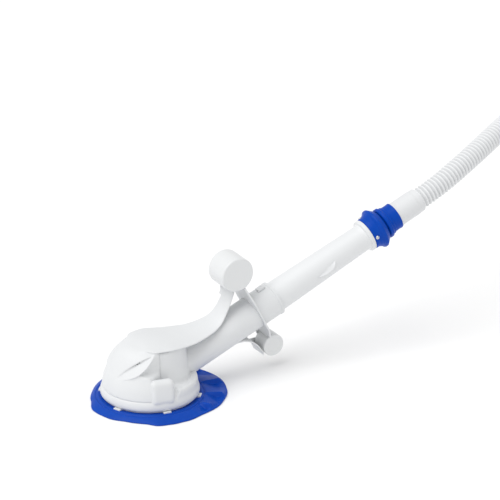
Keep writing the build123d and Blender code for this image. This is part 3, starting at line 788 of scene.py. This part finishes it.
# ---------------------------------------------------------------- head
@dataclass
class HeadCover:
    """Dome and swan-neck strap in one moulding, with a leaf-shaped gill on each side."""

    wall: float = 3.0
    dome_line: tuple[Point, ...] = (
        (86.4, 30.2), (84.8, 40), (81.8, 52), (76.0, 66), (66.8, 85), (59.0, 97), (49.6, 105.6), (38, 110.8),
        (22, 113.3), (0, 113.9))
    rear_cut: tuple[Point, ...] = (
        (-36, 20), (-36, 69.5), (-51, 72.5), (-49.5, 79), (-34, 91), (-24, 100), (-14.5, 107),
        (-10, 110), (-10, 130), (120, 130), (120, 20))
    web_line: tuple[Point, ...] = (
        (-37, 46), (-37, 58), (-37.5, 68), (-50, 72.5), (-50, 79), (-35, 91), (-25, 100), (-15.5, 107))
    web_wall: float = 2.2
    chamber_x: float = 15.0
    chamber_r: float = 59.5
    chamber_low: float = 42.0
    chamber_taper: float = 0.14
    chamber_way: Point = (-0.42, -0.907)
    spine: tuple[Point, ...] = (
        (-48, 100), (-38, 106.2), (-25, 110.4), (-14, 112.5), (0, 113.3), (20, 112.6), (49, 109.6),
        (74, 108.9), (95, 110.2), (119, 115.4), (137, 124), (149, 136.5), (158, 151), (164.5, 164),
        (168.5, 173.5))
    half_widths: tuple[Point, ...] = (
        (-48, 8), (-38, 22), (-25, 36), (-14, 48), (0, 52), (20, 54), (49, 48), (74, 42), (95, 35),
        (119, 29), (137, 23.5), (149, 19.5), (158, 17.5), (164.5, 17), (168.5, 17))
    crown: float = 5.0
    gill_tips: tuple[Vector, Vector] = (Vector((-77.3, -12.8, 61)), Vector((-16.6, -48.4, 106)))
    gill_low: Vector = Vector((-53, -49.8, 76))
    gill_high: Vector = Vector((-54.8, -34.0, 88.5))
    gill_depth: float = 3.6
    gill_rim: float = 2.4
    gill_cut: Point = (16.0, 40.0)

    def dome(self) -> Mesh:
        """Dome shell, up to its rear edge."""
        outer = line_points(self.dome_line, 40)
        inner = [(max(radius - self.wall, 0), height - self.wall * ease(60, 112, height))
                 for radius, height in outer]
        shell = spun(outer + inner[::-1], 128)
        knife = plate(self.rear_cut, 220, 0)
        return cut(shell, moved(knife, turned(90, "X")))

    def radius_at(self, height: float) -> float:
        """Outside radius of the dome at a height."""
        steps = 80
        line = [smooth_line(self.dome_line, step / steps) for step in range(steps + 1)]
        index = next(i for i in range(steps) if line[i + 1].y >= height)
        share = (height - line[index].y) / (line[index + 1].y - line[index].y)
        return line[index].lerp(line[index + 1], share).x

    def web(self) -> Mesh:
        """Near wall that turns in from the dome's rear edge to the suction chamber."""
        def place(share: float, across: float) -> Vector:
            x, z = smooth_line(self.web_line, share)
            reach = self.radius_at(z) - self.wall / 2
            outer = Vector((x, -math.sqrt(reach ** 2 - x ** 2), z))
            chamber = self.chamber_r - self.chamber_taper * (z - self.chamber_low)
            way_x, way_y = self.chamber_way
            inner = Vector((self.chamber_x + way_x * chamber, way_y * chamber, z))
            return outer.lerp(inner, across)
        return thickened(mapped(60, 10, place), self.web_wall)

    def strap(self) -> Mesh:
        """Crowned strap from the dome to the roller."""
        def place(share: float, side: float) -> Vector:
            x, z = smooth_line(self.spine, share)
            half = smooth_line(self.half_widths, share).y
            across = 2 * side - 1
            fall = self.crown * ease(0, 0.3, share) * (1 - 0.6 * ease(0.7, 1.0, share))
            return Vector((x, across * half, z - fall * across ** 2))
        return thickened(mapped(72, 20, place), self.wall)

    def ear(self) -> Mesh:
        """Ear beside the large roller, on its far side, with its foot on the strap."""
        centre = centre_of("front_roller_spin")
        reach = 9.0
        outline = [(centre.x + reach * math.cos(a), centre.z + reach * math.sin(a))
                   for a in (math.radians(turn) for turn in range(-10, 191, 20))]
        outline += [(165, 154), (172, 152)]
        upright = moved(plate(outline, 3.0, 0.8), turned(90, "X"))
        moved(upright, Matrix.Translation((0, 27.8, 0)))
        foot = block((5, 18, 16), 1.4)
        moved(foot, Matrix.Translation((167.2, 20.4, 161)) @ turned(27, "Y"))
        return joined([upright, foot])

    def gill_axes(self) -> tuple[Vector, Vector, Vector]:
        """Directions along, up and out of the near gill."""
        along = (self.gill_tips[1] - self.gill_tips[0]).normalized()
        out = along.cross(self.gill_high - self.gill_low).normalized()
        return along, out.cross(along), out

    def gill_edge(self, share: float, bow: Vector) -> Vector:
        """Point on an edge of the gill that passes through a bow point half way."""
        first, last = self.gill_tips
        control = 2 * bow - (first + last) / 2
        return (1 - share) ** 2 * first + 2 * share * (1 - share) * control + share ** 2 * last

    def gill_cutter(self) -> Mesh:
        """Leaf-shaped plug that opens the dome's wall."""
        steps = 24
        out = self.gill_axes()[2]
        ring = [self.gill_edge(step / steps, self.gill_high) for step in range(steps + 1)]
        ring += [self.gill_edge(step / steps, self.gill_low) for step in range(steps - 1, 0, -1)]
        return prism([point - out * self.gill_cut[0] for point in ring], out * self.gill_cut[1])

    def petal(self) -> Mesh:
        """Scooped petal that fills the gill, deep at the top and proud at its lower rim."""
        out = self.gill_axes()[2]

        def place(share: float, drop: float) -> Vector:
            high = self.gill_edge(share, self.gill_high)
            low = self.gill_edge(share, self.gill_low)
            spread = max(math.sin(math.pi * share), 0.0) ** 0.6
            depth = -self.gill_depth * spread * (1 - drop) ** 1.3
            proud = self.gill_rim * spread * drop ** 3
            return high.lerp(low, drop * 1.06) + out * (depth + proud - 0.4)
        return thickened(mapped(48, 18, place), 2.4, TIP_MERGE)

    def build(self) -> bpy.types.Object:
        """Make the cover and its gills."""
        shell = cut(self.dome(), self.gill_cutter())
        shell = cut(shell, flipped(self.gill_cutter()))
        petals = [self.petal(), flipped(self.petal())]
        webs = [self.web(), flipped(self.web())]
        cell = 1.6 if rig.quick() else 1.0
        whole = fused(joined([shell, self.strap(), self.ear(), *petals, *webs]), cell, 3)
        piece = Piece("head_cover_skin", "white_shell", Body.CLEANER, ("head_cover",), 80, False)
        return piece.finish(whole)


@dataclass
class LowerHousing:
    """Bottom ring, deck, suction chamber and catch blocks, in one soft moulding."""

    wall: float = 3.0
    throat_r: float = 39.5
    ring_line: tuple[Point, ...] = (
        (86.6, 12.0), (88.8, 14.0), (89.4, 18.0), (88.8, 23.0), (87.4, 27.0), (86.4, 30.0))
    deck_r: float = 76.0
    deck_z: float = 44.0
    chamber_x: float = 15.0
    chamber_line: tuple[Point, ...] = ((60.5, 42.0), (58.0, 50.0), (54.5, 75.0), (51.5, 107.2))
    rim_line: tuple[Point, ...] = (
        (75.0, 41.0), (81.0, 28.5), (86.6, 28.5), (86.0, 38.0), (84.4, 43.5), (82.0, 45.2), (75.0, 45.0))
    rim_cut: tuple[Point, ...] = ((-120, 0), (3, 0), (3, 24), (15, 47), (-120, 47))
    lug_turn: float = 103.0
    lug_size: tuple[float, float, float] = (22.0, 43.0, 44.0)
    lug_r: float = 86.5
    lug_low: float = 24.0
    lug_lean: float = 7.0

    def ring(self) -> Mesh:
        """Ring and deck as one turned shell."""
        wall = self.wall
        outer = line_points(self.ring_line, 16)
        return spun([
            (self.throat_r, 12.0),
            *outer,
            (83.2, 30.3), (83.0, 37.0), (80.0, 37.0), (self.deck_r, self.deck_z),
            (1, self.deck_z), (1, self.deck_z - wall), (self.deck_r - wall, self.deck_z - wall),
            (80.5, 27.0), (85.0, 22.0), (85.4, 15.4), (self.throat_r, 12.0 + wall),
        ], 128)

    def chamber(self) -> Mesh:
        """Flared wall of the suction chamber."""
        outer = line_points(self.chamber_line, 12)
        inner = [(radius - self.wall, height) for radius, height in reversed(outer)]
        return moved(spun(outer + inner, 112), Matrix.Translation((self.chamber_x, 0, 0)))

    def rear_rim(self) -> Mesh:
        """Raised wall of the ring behind the catch blocks, with slanted front ends."""
        knife = moved(plate(self.rim_cut, 240, 0), turned(90, "X"))
        return cut(spun(self.rim_line, 128), knife)

    def lug(self, side: int) -> Mesh:
        """Catch block on one side, leaning out towards its foot."""
        depth, _, height = self.lug_size
        mesh = block(self.lug_size, 8.5, 7)
        for vert in mesh.verts:
            if vert.co.x > 0:
                vert.co.x -= self.lug_lean * (vert.co.z / height)
        turn = turned(side * self.lug_turn, "Z")
        return moved(mesh, turn @ Matrix.Translation((self.lug_r - depth / 2, 0, self.lug_low + height / 2)))

    def build(self) -> bpy.types.Object:
        """Make the housing."""
        cell = 2.4 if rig.quick() else 1.6
        shapes = [self.ring(), self.chamber(), self.rear_rim(), self.lug(-1), self.lug(1)]
        whole = fused(joined(shapes), cell, 4)
        piece = Piece("lower_housing_skin", "white_shell", Body.CLEANER, ("lower_housing",), 80, False)
        return piece.finish(whole)


@dataclass
class Skirt:
    """Flexible disc with a groove, a turned-down front rim and folded pleats at the rear."""

    inner_r: float = 76.0
    offset: float = 18.0
    flat_z: float = 9.0
    edge_z: float = 2.6
    groove_r: float = 97.0
    thickness: float = 1.5
    pleat_step: float = 25.5
    first_pleat: float = -8.5
    pleat_rise: float = 12.0
    pleat_spread: float = 78.0
    outline: tuple[Point, ...] = (
        (0, 126), (25, 125), (60, 122), (100, 121), (140, 120), (160, 123), (178, 132), (196, 130),
        (214, 123), (229, 122), (240, 128), (250, 125), (264, 121), (283, 115), (312, 119),
        (335, 123), (360, 126))

    def reach(self, turn: float) -> float:
        """Radius of the outline about its own centre, at a turn in degrees."""
        turn %= 360
        index = next(i for i in range(len(self.outline) - 1) if turn <= self.outline[i + 1][0])
        (start, first), (end, last) = self.outline[index], self.outline[index + 1]
        return first + (last - first) * ease(start, end, turn)

    def fold(self, turn: float, reach: float, edge: float) -> float:
        """Height that a pleat adds, at a turn in degrees and a distance from the centre."""
        turn = (turn + 180) % 360 - 180
        away = abs(turn)
        phase = ((self.first_pleat - turn) / self.pleat_step) % 1.0
        saw = phase / 0.9 if phase < 0.9 else (1 - phase) / 0.1
        spread = 1 - ease(self.pleat_spread - 22, self.pleat_spread, away)
        grown = (reach - self.groove_r - 1) / (edge - self.groove_r - 12)
        across = min(max(grown, 0.0), 1.0) * (1 - ease(edge - 8, edge - 0.5, reach))
        return self.pleat_rise * (saw - 0.42) * spread * across

    def place(self, share: float, around: float) -> Vector:
        """Point on the upper skin."""
        turn = 360 * around
        way = Vector((math.cos(around * TAU), math.sin(around * TAU), 0))
        edge = self.inner_r
        for _ in range(6):
            point = way * edge - Vector((self.offset, 0, 0))
            bearing = math.degrees(math.atan2(point.y, point.x))
            edge += self.reach(bearing) - point.length
        reach = self.inner_r + (edge - self.inner_r) * share
        fall = ease(self.groove_r, edge, reach) if edge - self.groove_r > 30 else (
            max(0.0, reach - self.groove_r) / (edge - self.groove_r)) ** 1.5
        height = self.flat_z - (self.flat_z - self.edge_z) * fall
        height += 0.8 * math.exp(-((reach - self.groove_r + 4.5) / 1.8) ** 2)
        height -= 1.6 * math.exp(-((reach - self.groove_r) / 1.5) ** 2)
        height += self.fold(turn, reach, edge)
        return way * reach + Vector((0, 0, max(height, self.thickness + 0.3)))

    def build(self) -> bpy.types.Object:
        """Make the skirt with its rim turned down to the floor."""
        around = 240 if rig.quick() else 540
        skin = mapped(64, around, self.place, Closing.AROUND)
        rim = [edge for edge in skin.edges if edge.is_boundary
               and all(vert.co.xy.length > self.inner_r + 2 for vert in edge.verts)]
        for drop, grow in ((0.35, 0.4), (0.75, 0.1), (1.0, -0.2)):
            grown = bmesh.ops.extrude_edge_only(skin, edges=rim)
            for vert in fresh(grown, bmesh.types.BMVert):
                vert.co += vert.co.xy.normalized().to_3d() * grow
                vert.co.z = max(vert.co.z - drop, 0.0)
            rim = fresh(grown, bmesh.types.BMEdge)
        thickened(skin, self.thickness)
        for vert in skin.verts:
            vert.co.z = max(vert.co.z, 0.0)
        tidy(skin)
        return Piece("skirt_skin", "blue_skirt", Body.FOOT, ("disc_skirt",), 50, False).finish(skin)


@dataclass
class PipeRun:
    """Body tube with its collar, lock tab, outer pipe and the pipe's gill."""

    axis: PipeAxis
    body_r: float = 31.5
    wall: float = 3.0
    body_start: float = 52.0
    body_end: float = 279.5
    pipe_start: float = 240.0
    taper_start: float = 300.0
    pipe_base: float = 28.0
    pipe_tip: float = 24.5
    lip_r: float = 30.5
    lip_start: float = 484.0
    pipe_end: float = 491.0
    latch_at: float = 262.0
    gill_start: float = 361.0
    gill_length: float = 46.0
    gill_bow: float = 8.0
    gill_turn: float = 91.0
    gill_sweep: float = 21.0
    gill_spread: float = 11.0
    gill_lift: float = 4.4

    def tube(self) -> bpy.types.Object:
        """Body tube and collar lip."""
        bore = self.body_r - self.wall
        mesh = self.axis.spun(rounded([
            (bore, self.body_start), (self.body_r, self.body_start),
            (self.body_r, self.body_end - 5.5), (self.body_r + 1.2, self.body_end - 4.5),
            (self.body_r + 1.2, self.body_end), (bore, self.body_end),
        ], 0.8, 4), 128)
        return Piece("body_tube_skin", "white_shell", Body.CLEANER, ("body_tube",)).finish(mesh)

    def latch(self) -> bpy.types.Object:
        """Lock tab on the collar."""
        mesh = block((5.0, 11.0, 15.5), 1.5)
        slot = moved(block((2.0, 7.0, 1.6), 0.5), Matrix.Translation((2.6, 0, 3.0)))
        both = moved(joined([mesh, slot]), self.axis.at(self.latch_at, 0, self.body_r + 2.4))
        return Piece("lock_tab", "white_shell", Body.CLEANER, ("collar_latch",)).finish(both)

    def outer(self) -> bpy.types.Object:
        """Outer pipe with its lip and spigot."""
        tip = self.pipe_tip
        mesh = self.axis.spun(rounded([
            (self.pipe_base - 2.5, self.pipe_start), (self.pipe_base, self.pipe_start),
            (self.pipe_base, self.taper_start), (tip, self.lip_start - 7),
            (tip + 1.6, self.lip_start - 1.5), (self.lip_r, self.lip_start),
            (self.lip_r, self.pipe_end), (26.5, self.pipe_end), (26.5, self.pipe_end + 11),
            (24.3, self.pipe_end + 11), (24.3, self.pipe_end - 2),
            (tip - 2.5, self.pipe_end - 5), (tip - 2.5, self.lip_start - 6),
            (self.pipe_base - 2.5, self.taper_start),
        ], 1.4, 4), 128)
        return Piece("outer_pipe_skin", "white_pipe", Body.CLEANER, ("outer_pipe",)).finish(mesh)

    def gill(self) -> bpy.types.Object:
        """Raised crescent on the pipe's near side."""
        def place(share: float, side: float) -> Vector:
            bow = max(math.sin(math.pi * share), 0.0)
            distance = self.gill_start + self.gill_length * share + self.gill_bow * bow * side
            turn = self.gill_turn - self.gill_sweep * share + self.gill_spread * bow * side
            radius = self.pipe_base - 3.5 * (distance - self.taper_start) / 178
            lift = self.gill_lift * bow ** 0.8 * side ** 1.5 - 0.3
            return self.axis.at(distance, turn, radius + lift).translation
        skin = thickened(mapped(40, 10, place), 1.2, TIP_MERGE)
        return Piece("pipe_gill", "white_pipe", Body.CLEANER, (), 50, False).finish(skin)

    def build(self) -> list[bpy.types.Object]:
        """Make the four pieces."""
        return [self.tube(), self.latch(), self.outer(), self.gill()]


# ---------------------------------------------------------------- rollers
@dataclass
class Rollers:
    """Two hollow rollers."""

    top_r: float = 32.0
    top_length: float = 51.0
    low_r: float = 20.5
    low_length: float = 34.0
    wall: float = 2.6
    hub: float = 8.0
    bore: float = 4.05

    def roller(self, name: str, body: Body, joint: str, sizes: tuple[float, float],
               edge: float, dish: float) -> bpy.types.Object:
        """One roller, closed on its near side.

        Args:
            name: the piece's name.
            body: the body that it turns with.
            joint: the joint whose axis it turns about.
            sizes: radius and length.
            edge: rounding of its rims.
            dish: depth of the near face's middle.

        Returns:
            The roller.
        """
        radius, length = sizes
        half = length / 2
        face = half - self.wall
        mesh = spun(rounded([
            (0, half - dish), (radius * 0.66, half - dish), (radius * 0.74, half),
            (radius, half), (radius, -half), (radius - self.wall - 1, -half),
            (radius - self.wall - 1, -half + 4), (radius - self.wall, face), (self.hub, face),
            (self.hub, 0.5 - half), (self.bore, 0.5 - half), (self.bore, face - 3),
            (0, face - 3),
        ], edge, 6), 112)
        moved(mesh, across_y(centre_of(joint)))
        node = {"front_roller": "top_roller", "rear_roller": "lower_roller"}[body.value]
        return Piece(name, "white_roller", body, (node,)).finish(mesh)

    def build(self) -> list[bpy.types.Object]:
        """Make both rollers."""
        return [
            self.roller("large_roller", Body.FRONT_ROLLER, "front_roller_spin",
                        (self.top_r, self.top_length), 5.0, 0.1),
            self.roller("small_roller", Body.REAR_ROLLER, "rear_roller_spin",
                        (self.low_r, self.low_length), 3.0, 0.5),
        ]


# ---------------------------------------------------------------- swivel and hose
@dataclass
class Swivel:
    """Blue ring with its screws, and the turning sleeve."""

    axis: PipeAxis
    start: float = 491.2
    end: float = 523.0
    sleeve_end: float = 555.5
    screw_at: float = 497.0
    screw_turns: tuple[float, ...] = (85.0, 205.0, 325.0)

    def ring(self) -> bpy.types.Object:
        """Fixed ring with its band and rolled flange."""
        start = self.start
        mesh = self.axis.spun(rounded([
            (26.7, start), (30.5, start), (30.8, start + 8.0), (34.0, start + 14.0),
            (38.2, start + 17.8), (38.4, start + 21.5), (34.5, start + 26.0),
            (30.5, self.end - 1.5), (29.0, self.end), (22.6, self.end), (22.6, 515.6),
            (27.0, 515.6), (27.0, 502.0), (26.7, 501.0),
        ], 1.6, 6), 128)
        return Piece("swivel_ring_skin", "blue_swivel", Body.CLEANER, ("swivel_ring",)).finish(mesh)

    def screw(self, turn: float) -> Mesh:
        """Pan-head screw with a cross recess."""
        outline = [(0, 2.0), (2.6, 1.7), (3.6, 0.5), (3.6, 0.0), (2.0, 0.0), (2.0, -3.6), (0, -3.6)]
        head = spun(rounded(outline, 0.4, 4), 40)
        for angle in (0, 90):
            bar = block((4.2, 0.8, 1.6), 0.1, 1)
            moved(bar, Matrix.Translation((0, 0, 1.9)) @ turned(angle, "Z"))
            head = cut(head, bar)
        outwards = turned(90, "Y")
        return moved(head, self.axis.at(self.screw_at, turn, 30.6) @ outwards)

    def sleeve(self) -> bpy.types.Object:
        """Turning sleeve with its rim, cone and flared end."""
        end = self.sleeve_end
        mesh = self.axis.spun(rounded([
            (16.5, 508.0), (26.7, 508.0), (26.7, 512.0), (22.3, 512.0), (22.3, 524.6),
            (27.6, 525.2), (29.6, 526.8), (29.6, 532.0), (27.2, 534.5), (26.8, 538.5),
            (25.4, 539.5), (24.9, 549.0), (25.4, end), (18.8, end), (18.8, 594.0),
            (16.5, 594.0),
        ], 0.7, 5), 128)
        return Piece("swivel_sleeve_skin", "blue_swivel", Body.HOSE, ("swivel_sleeve",)).finish(mesh)

    def build(self) -> list[bpy.types.Object]:
        """Make the ring, the screws and the sleeve."""
        heads = joined([self.screw(turn) for turn in self.screw_turns])
        screws = Piece("band_screws", "stainless", Body.CLEANER, ("swivel_screws",)).finish(heads)
        return [self.ring(), screws, self.sleeve()]


@dataclass
class Hose:
    """Corrugated hose section with a cuff at each end."""

    axis: PipeAxis
    radius: float = 20.5
    groove: float = 3.6
    pitch: float = 7.45
    wall: float = 2.0
    plain: float = 5.5
    rings_per_pitch: int = 10
    cuff_tone: float = 0.55
    route: tuple[tuple[float, float, float], ...] = (
        (0.5615, 0.0, 0.2522), (0.6034, 0.0, 0.2687), (0.6603, 0.0111, 0.2907),
        (0.7241, 0.0318, 0.3106), (0.7910, 0.0623, 0.3256), (0.8585, 0.1013, 0.3283),
        (0.9237, 0.1359, 0.3153), (0.9855, 0.1634, 0.2852), (1.0459, 0.1842, 0.2371),
        (1.1063, 0.1992, 0.1749), (1.1631, 0.2082, 0.1193), (1.2226, 0.2134, 0.0790),
        (1.2815, 0.2155, 0.0540), (1.3408, 0.2165, 0.0352), (1.3981, 0.2170, 0.0283),
        (1.4501, 0.2172, 0.0267),
    )

    def centreline(self) -> list[Vector]:
        """Points read from the route's smooth spline, in metres."""
        curve = bpy.data.curves.new("hose_route", "CURVE")
        curve.dimensions = "3D"
        spline = curve.splines.new("NURBS")
        spline.points.add(len(self.route) - 1)
        for point, place in zip(spline.points, self.route):
            point.co = (*place, 1)
        spline.order_u = 3
        spline.use_endpoint_u = True
        spline.resolution_u = 24
        holder = linked("hose_route", curve)
        bpy.context.view_layer.update()
        final = holder.evaluated_get(bpy.context.evaluated_depsgraph_get())
        line = bpy.data.meshes.new_from_object(final)
        points = [vert.co.copy() for vert in line.vertices]
        bpy.data.objects.remove(holder)
        bpy.data.meshes.remove(line)
        return points

    def frames(self, points: list[Vector]) -> tuple[list[Matrix], float]:
        """Even places along the line, turned without twist.

        Args:
            points: the centreline in metres.

        Returns:
            One matrix in millimetres for each place, and the line's length.
        """
        reach = [0.0]
        for first, second in zip(points, points[1:]):
            reach.append(reach[-1] + (second - first).length)
        total = reach[-1]
        count = int(total / MM / self.pitch) * self.rings_per_pitch
        places: list[Vector] = []
        index = 0
        for step in range(count + 1):
            goal = total * step / count
            while index < len(reach) - 2 and reach[index + 1] < goal:
                index += 1
            share = (goal - reach[index]) / (reach[index + 1] - reach[index])
            places.append(points[index].lerp(points[index + 1], min(share, 1.0)) / MM)
        side = Vector((0, 1, 0))
        made: list[Matrix] = []
        for step, here in enumerate(places):
            way = (places[min(step + 1, count)] - places[max(step - 1, 0)]).normalized()
            side = (side - way * side.dot(way)).normalized()
            turn = Matrix((side, way.cross(side), way)).transposed().to_4x4()
            made.append(Matrix.Translation(here) @ turn)
        return made, total

    def profile(self, distance: float, total: float) -> float:
        """Outside radius at a distance from the start, in millimetres."""
        wave = 0.5 - 0.5 * math.cos(TAU * distance / self.pitch)
        ribs = ease(self.plain, self.plain + 2, distance) * (1 - ease(total - 15, total - 13, distance))
        return self.radius - 0.15 - self.groove * wave ** 0.9 * ribs

    def tube(self) -> tuple[bpy.types.Object, list[Vector], float]:
        """Corrugated tube with a smooth bore.

        Returns:
            The piece, its centreline and the line's length in metres.
        """
        points = self.centreline()
        places, total = self.frames(points)
        rings = len(places)
        inner = rings // 12
        whole = rings + inner
        around = 32 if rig.quick() else 40

        def place(share: float, turn: float) -> Vector:
            index = round(share * whole)
            angle = turn * TAU
            if index < rings:
                at = index
                radius = self.profile(total / MM * index / (rings - 1), total / MM)
            elif index < whole:
                at = round((rings - 1) * (1 - (index - rings) / (inner - 1)))
                radius = self.radius - self.groove - self.wall
            else:
                at, radius = 0, self.profile(0.0, total / MM)
            return places[at] @ Vector((radius * math.cos(angle), radius * math.sin(angle), 0))
        mesh = mapped(whole, around, place, Closing.BOTH)
        tree = KDTree(rings)
        for index, at in enumerate(places):
            tree.insert(at.translation, index)
        tree.balance()
        # groove depth from 0 to 1, which the hose finish turns into painted shade
        layer = mesh.verts.layers.float.new("groove")
        for vert in mesh.verts:
            depth = self.radius - tree.find(vert.co)[2]
            vert[layer] = min(max(depth / self.groove, 0.0), 1.0)
        piece = Piece("hose_skin", "white_hose", Body.HOSE, ("hose",), 75, False).finish(mesh)
        return piece, points, total

    def shaded(self, mesh: Mesh) -> Mesh:
        """Give a cuff, all over, the tone that the painted groove shade has half way down a groove."""
        layer = mesh.verts.layers.float.new("groove")
        for vert in mesh.verts:
            vert[layer] = self.cuff_tone
        return mesh

    def cuff(self) -> bpy.types.Object:
        """Smooth cuff on the sleeve's spigot."""
        mesh = self.axis.spun(rounded([
            (18.95, 555.6), (24.4, 555.6), (23.9, 558.5), (23.1, 561), (23.0, 568), (23.0, 598),
            (22.4, 600.0), (22.4, 609), (20.65, 609), (20.65, 603.35), (18.95, 603.35),
        ], 0.9, 4), 112)
        return Piece("near_cuff", "white_hose", Body.HOSE, ("hose_cuff",)).finish(self.shaded(mesh))

    def end_cuff(self) -> bpy.types.Object:
        """Socket cuff on the far end, with grip ribs."""
        end = Vector(self.route[-1]) / MM
        way = (end - Vector(self.route[-2]) / MM).normalized()
        turn = way.to_track_quat("Z", "Y").to_matrix().to_4x4()
        outline = [(20.65, 0), (24.0, 0)]
        for rib in range(6):
            at = 10 + 6 * rib
            outline += [(24.0, at), (23.2, at + 1.5), (23.2, at + 3.0), (24.0, at + 4.5)]
        outline += [(24.0, 58), (25.0, 59), (25.0, 66), (19.0, 66), (19.0, 21), (18.5, 20),
                    (18.5, 14.15), (20.65, 14.15)]
        mesh = moved(spun(rounded(outline, 0.8, 3), 112), Matrix.Translation(end - way * 14) @ turn)
        return Piece("far_cuff", "white_hose", Body.HOSE, ("hose_end_cuff",)).finish(self.shaded(mesh))

    def build(self) -> list[bpy.types.Object]:
        near, far = self.cuff(), self.end_cuff()
        tube, points, total = self.tube()
        LOG.info("hose length %.3f m", total)
        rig.cord(tube, exit=self.route[0], length=1.0, diameter=0.041, far_end="connector",
                stiffness="stiff", lay="loose", with_pieces=[near, far], path=points)
        return [tube, near, far]


# ---------------------------------------------------------------- stage
@dataclass
class Studio:
    """Pale floor, soft light and the camera, in metres and degrees."""

    azimuth: float = -30.56
    elevation: float = 24.31
    roll: float = -0.59
    aim: Vector = Vector((0.21095, 0.0, 0.23904))
    distance: float = 10.748
    lens: float = 432.0
    floor_size: float = 12.0
    key_place: Vector = Vector((-1.15, -0.05, 2.85))
    key_spread: float = 52.0
    key_strength: float = 1.6
    sky_strength: float = 0.68

    def camera(self) -> None:
        """Long-lens camera at the viewing angle."""
        turn, rise = math.radians(self.azimuth), math.radians(self.elevation)
        level = math.cos(rise)
        back = Vector((math.sin(turn) * level, -math.cos(turn) * level, math.sin(rise)))
        data = bpy.data.cameras.new("camera")
        data.lens = self.lens
        data.sensor_width = 36.0
        data.clip_end = 100.0
        camera = linked("camera", data)
        facing = (-back).to_track_quat("-Z", "Y").to_matrix().to_4x4()
        spin = turned(self.roll, "Z")
        camera.matrix_world = Matrix.Translation(self.aim + back * self.distance) @ facing @ spin
        bpy.context.scene.camera = camera

    def floor(self) -> None:
        """Plain pale floor."""
        mesh = bmesh.new()
        bmesh.ops.create_grid(mesh, x_segments=1, y_segments=1, size=self.floor_size)
        floor = added("floor", mesh)
        graph = Graph("floor_paint")
        floor.data.materials.append(graph.close({"Base Color": (0.95, 0.95, 0.95, 1), "Roughness": 0.9}))
        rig.stage(floor)

    def lamp(self) -> None:
        """Broad, distant key light that points at the object."""
        data = bpy.data.lights.new("key", "SUN")
        data.angle = math.radians(self.key_spread)
        data.energy = self.key_strength
        lamp = linked("key", data)
        way = self.aim - self.key_place
        facing = way.to_track_quat("-Z", "Y").to_matrix().to_4x4()
        lamp.matrix_world = Matrix.Translation(self.key_place) @ facing

    def build(self) -> None:
        """Set the whole stage."""
        scene = bpy.context.scene
        scene.view_settings.view_transform = "Standard"
        world = bpy.data.worlds.new("studio")
        world.use_nodes = True
        sky = world.node_tree.nodes["Background"].inputs
        sky["Color"].default_value = (1, 1, 1, 1)
        sky["Strength"].default_value = self.sky_strength
        scene.world = world
        self.camera()
        self.floor()
        self.lamp()


def dress_cad(skip: Sequence[str]) -> None:
    """Give each CAD node that still shows its finish.

    Args:
        skip: nodes that a piece stands for.
    """
    slots = {part["node"]: part["material_slot"] for part in frame["record"]["subparts"]}
    for name, node in frame["nodes"].items():
        if name in skip:
            continue
        node.data.materials.clear()
        node.data.materials.append(PAINT.get(slots[name]))
        LOG.info("%s keeps its shape in %s", name, slots[name])


def main() -> None:
    """Build the stage, the pieces and their finishes in order."""
    logging.basicConfig(level=logging.INFO, format="%(message)s")
    cad_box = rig.bounds()
    Studio().build()
    axis = PipeAxis()
    made = Hose(axis).build()
    made += [HeadCover().build(), LowerHousing().build(), Skirt().build()]
    made += PipeRun(axis).build()
    made += Rollers().build()
    made += Swivel(axis).build()
    replaced = ("head_cover", "lower_housing", "disc_skirt", "body_tube", "collar_latch", "outer_pipe",
                "top_roller", "lower_roller", "swivel_ring", "swivel_screws", "swivel_sleeve",
                "hose", "hose_cuff", "hose_end_cuff")
    dress_cad(replaced)
    LOG.info("%d new pieces", len(made))
    sizes = {"cad": [list(corner) for corner in cad_box], "visual": [list(corner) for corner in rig.bounds()]}
    with open(SIZE_FILE, "w") as file:
        json.dump(sizes, file)


if __name__ == "__main__":
    main()
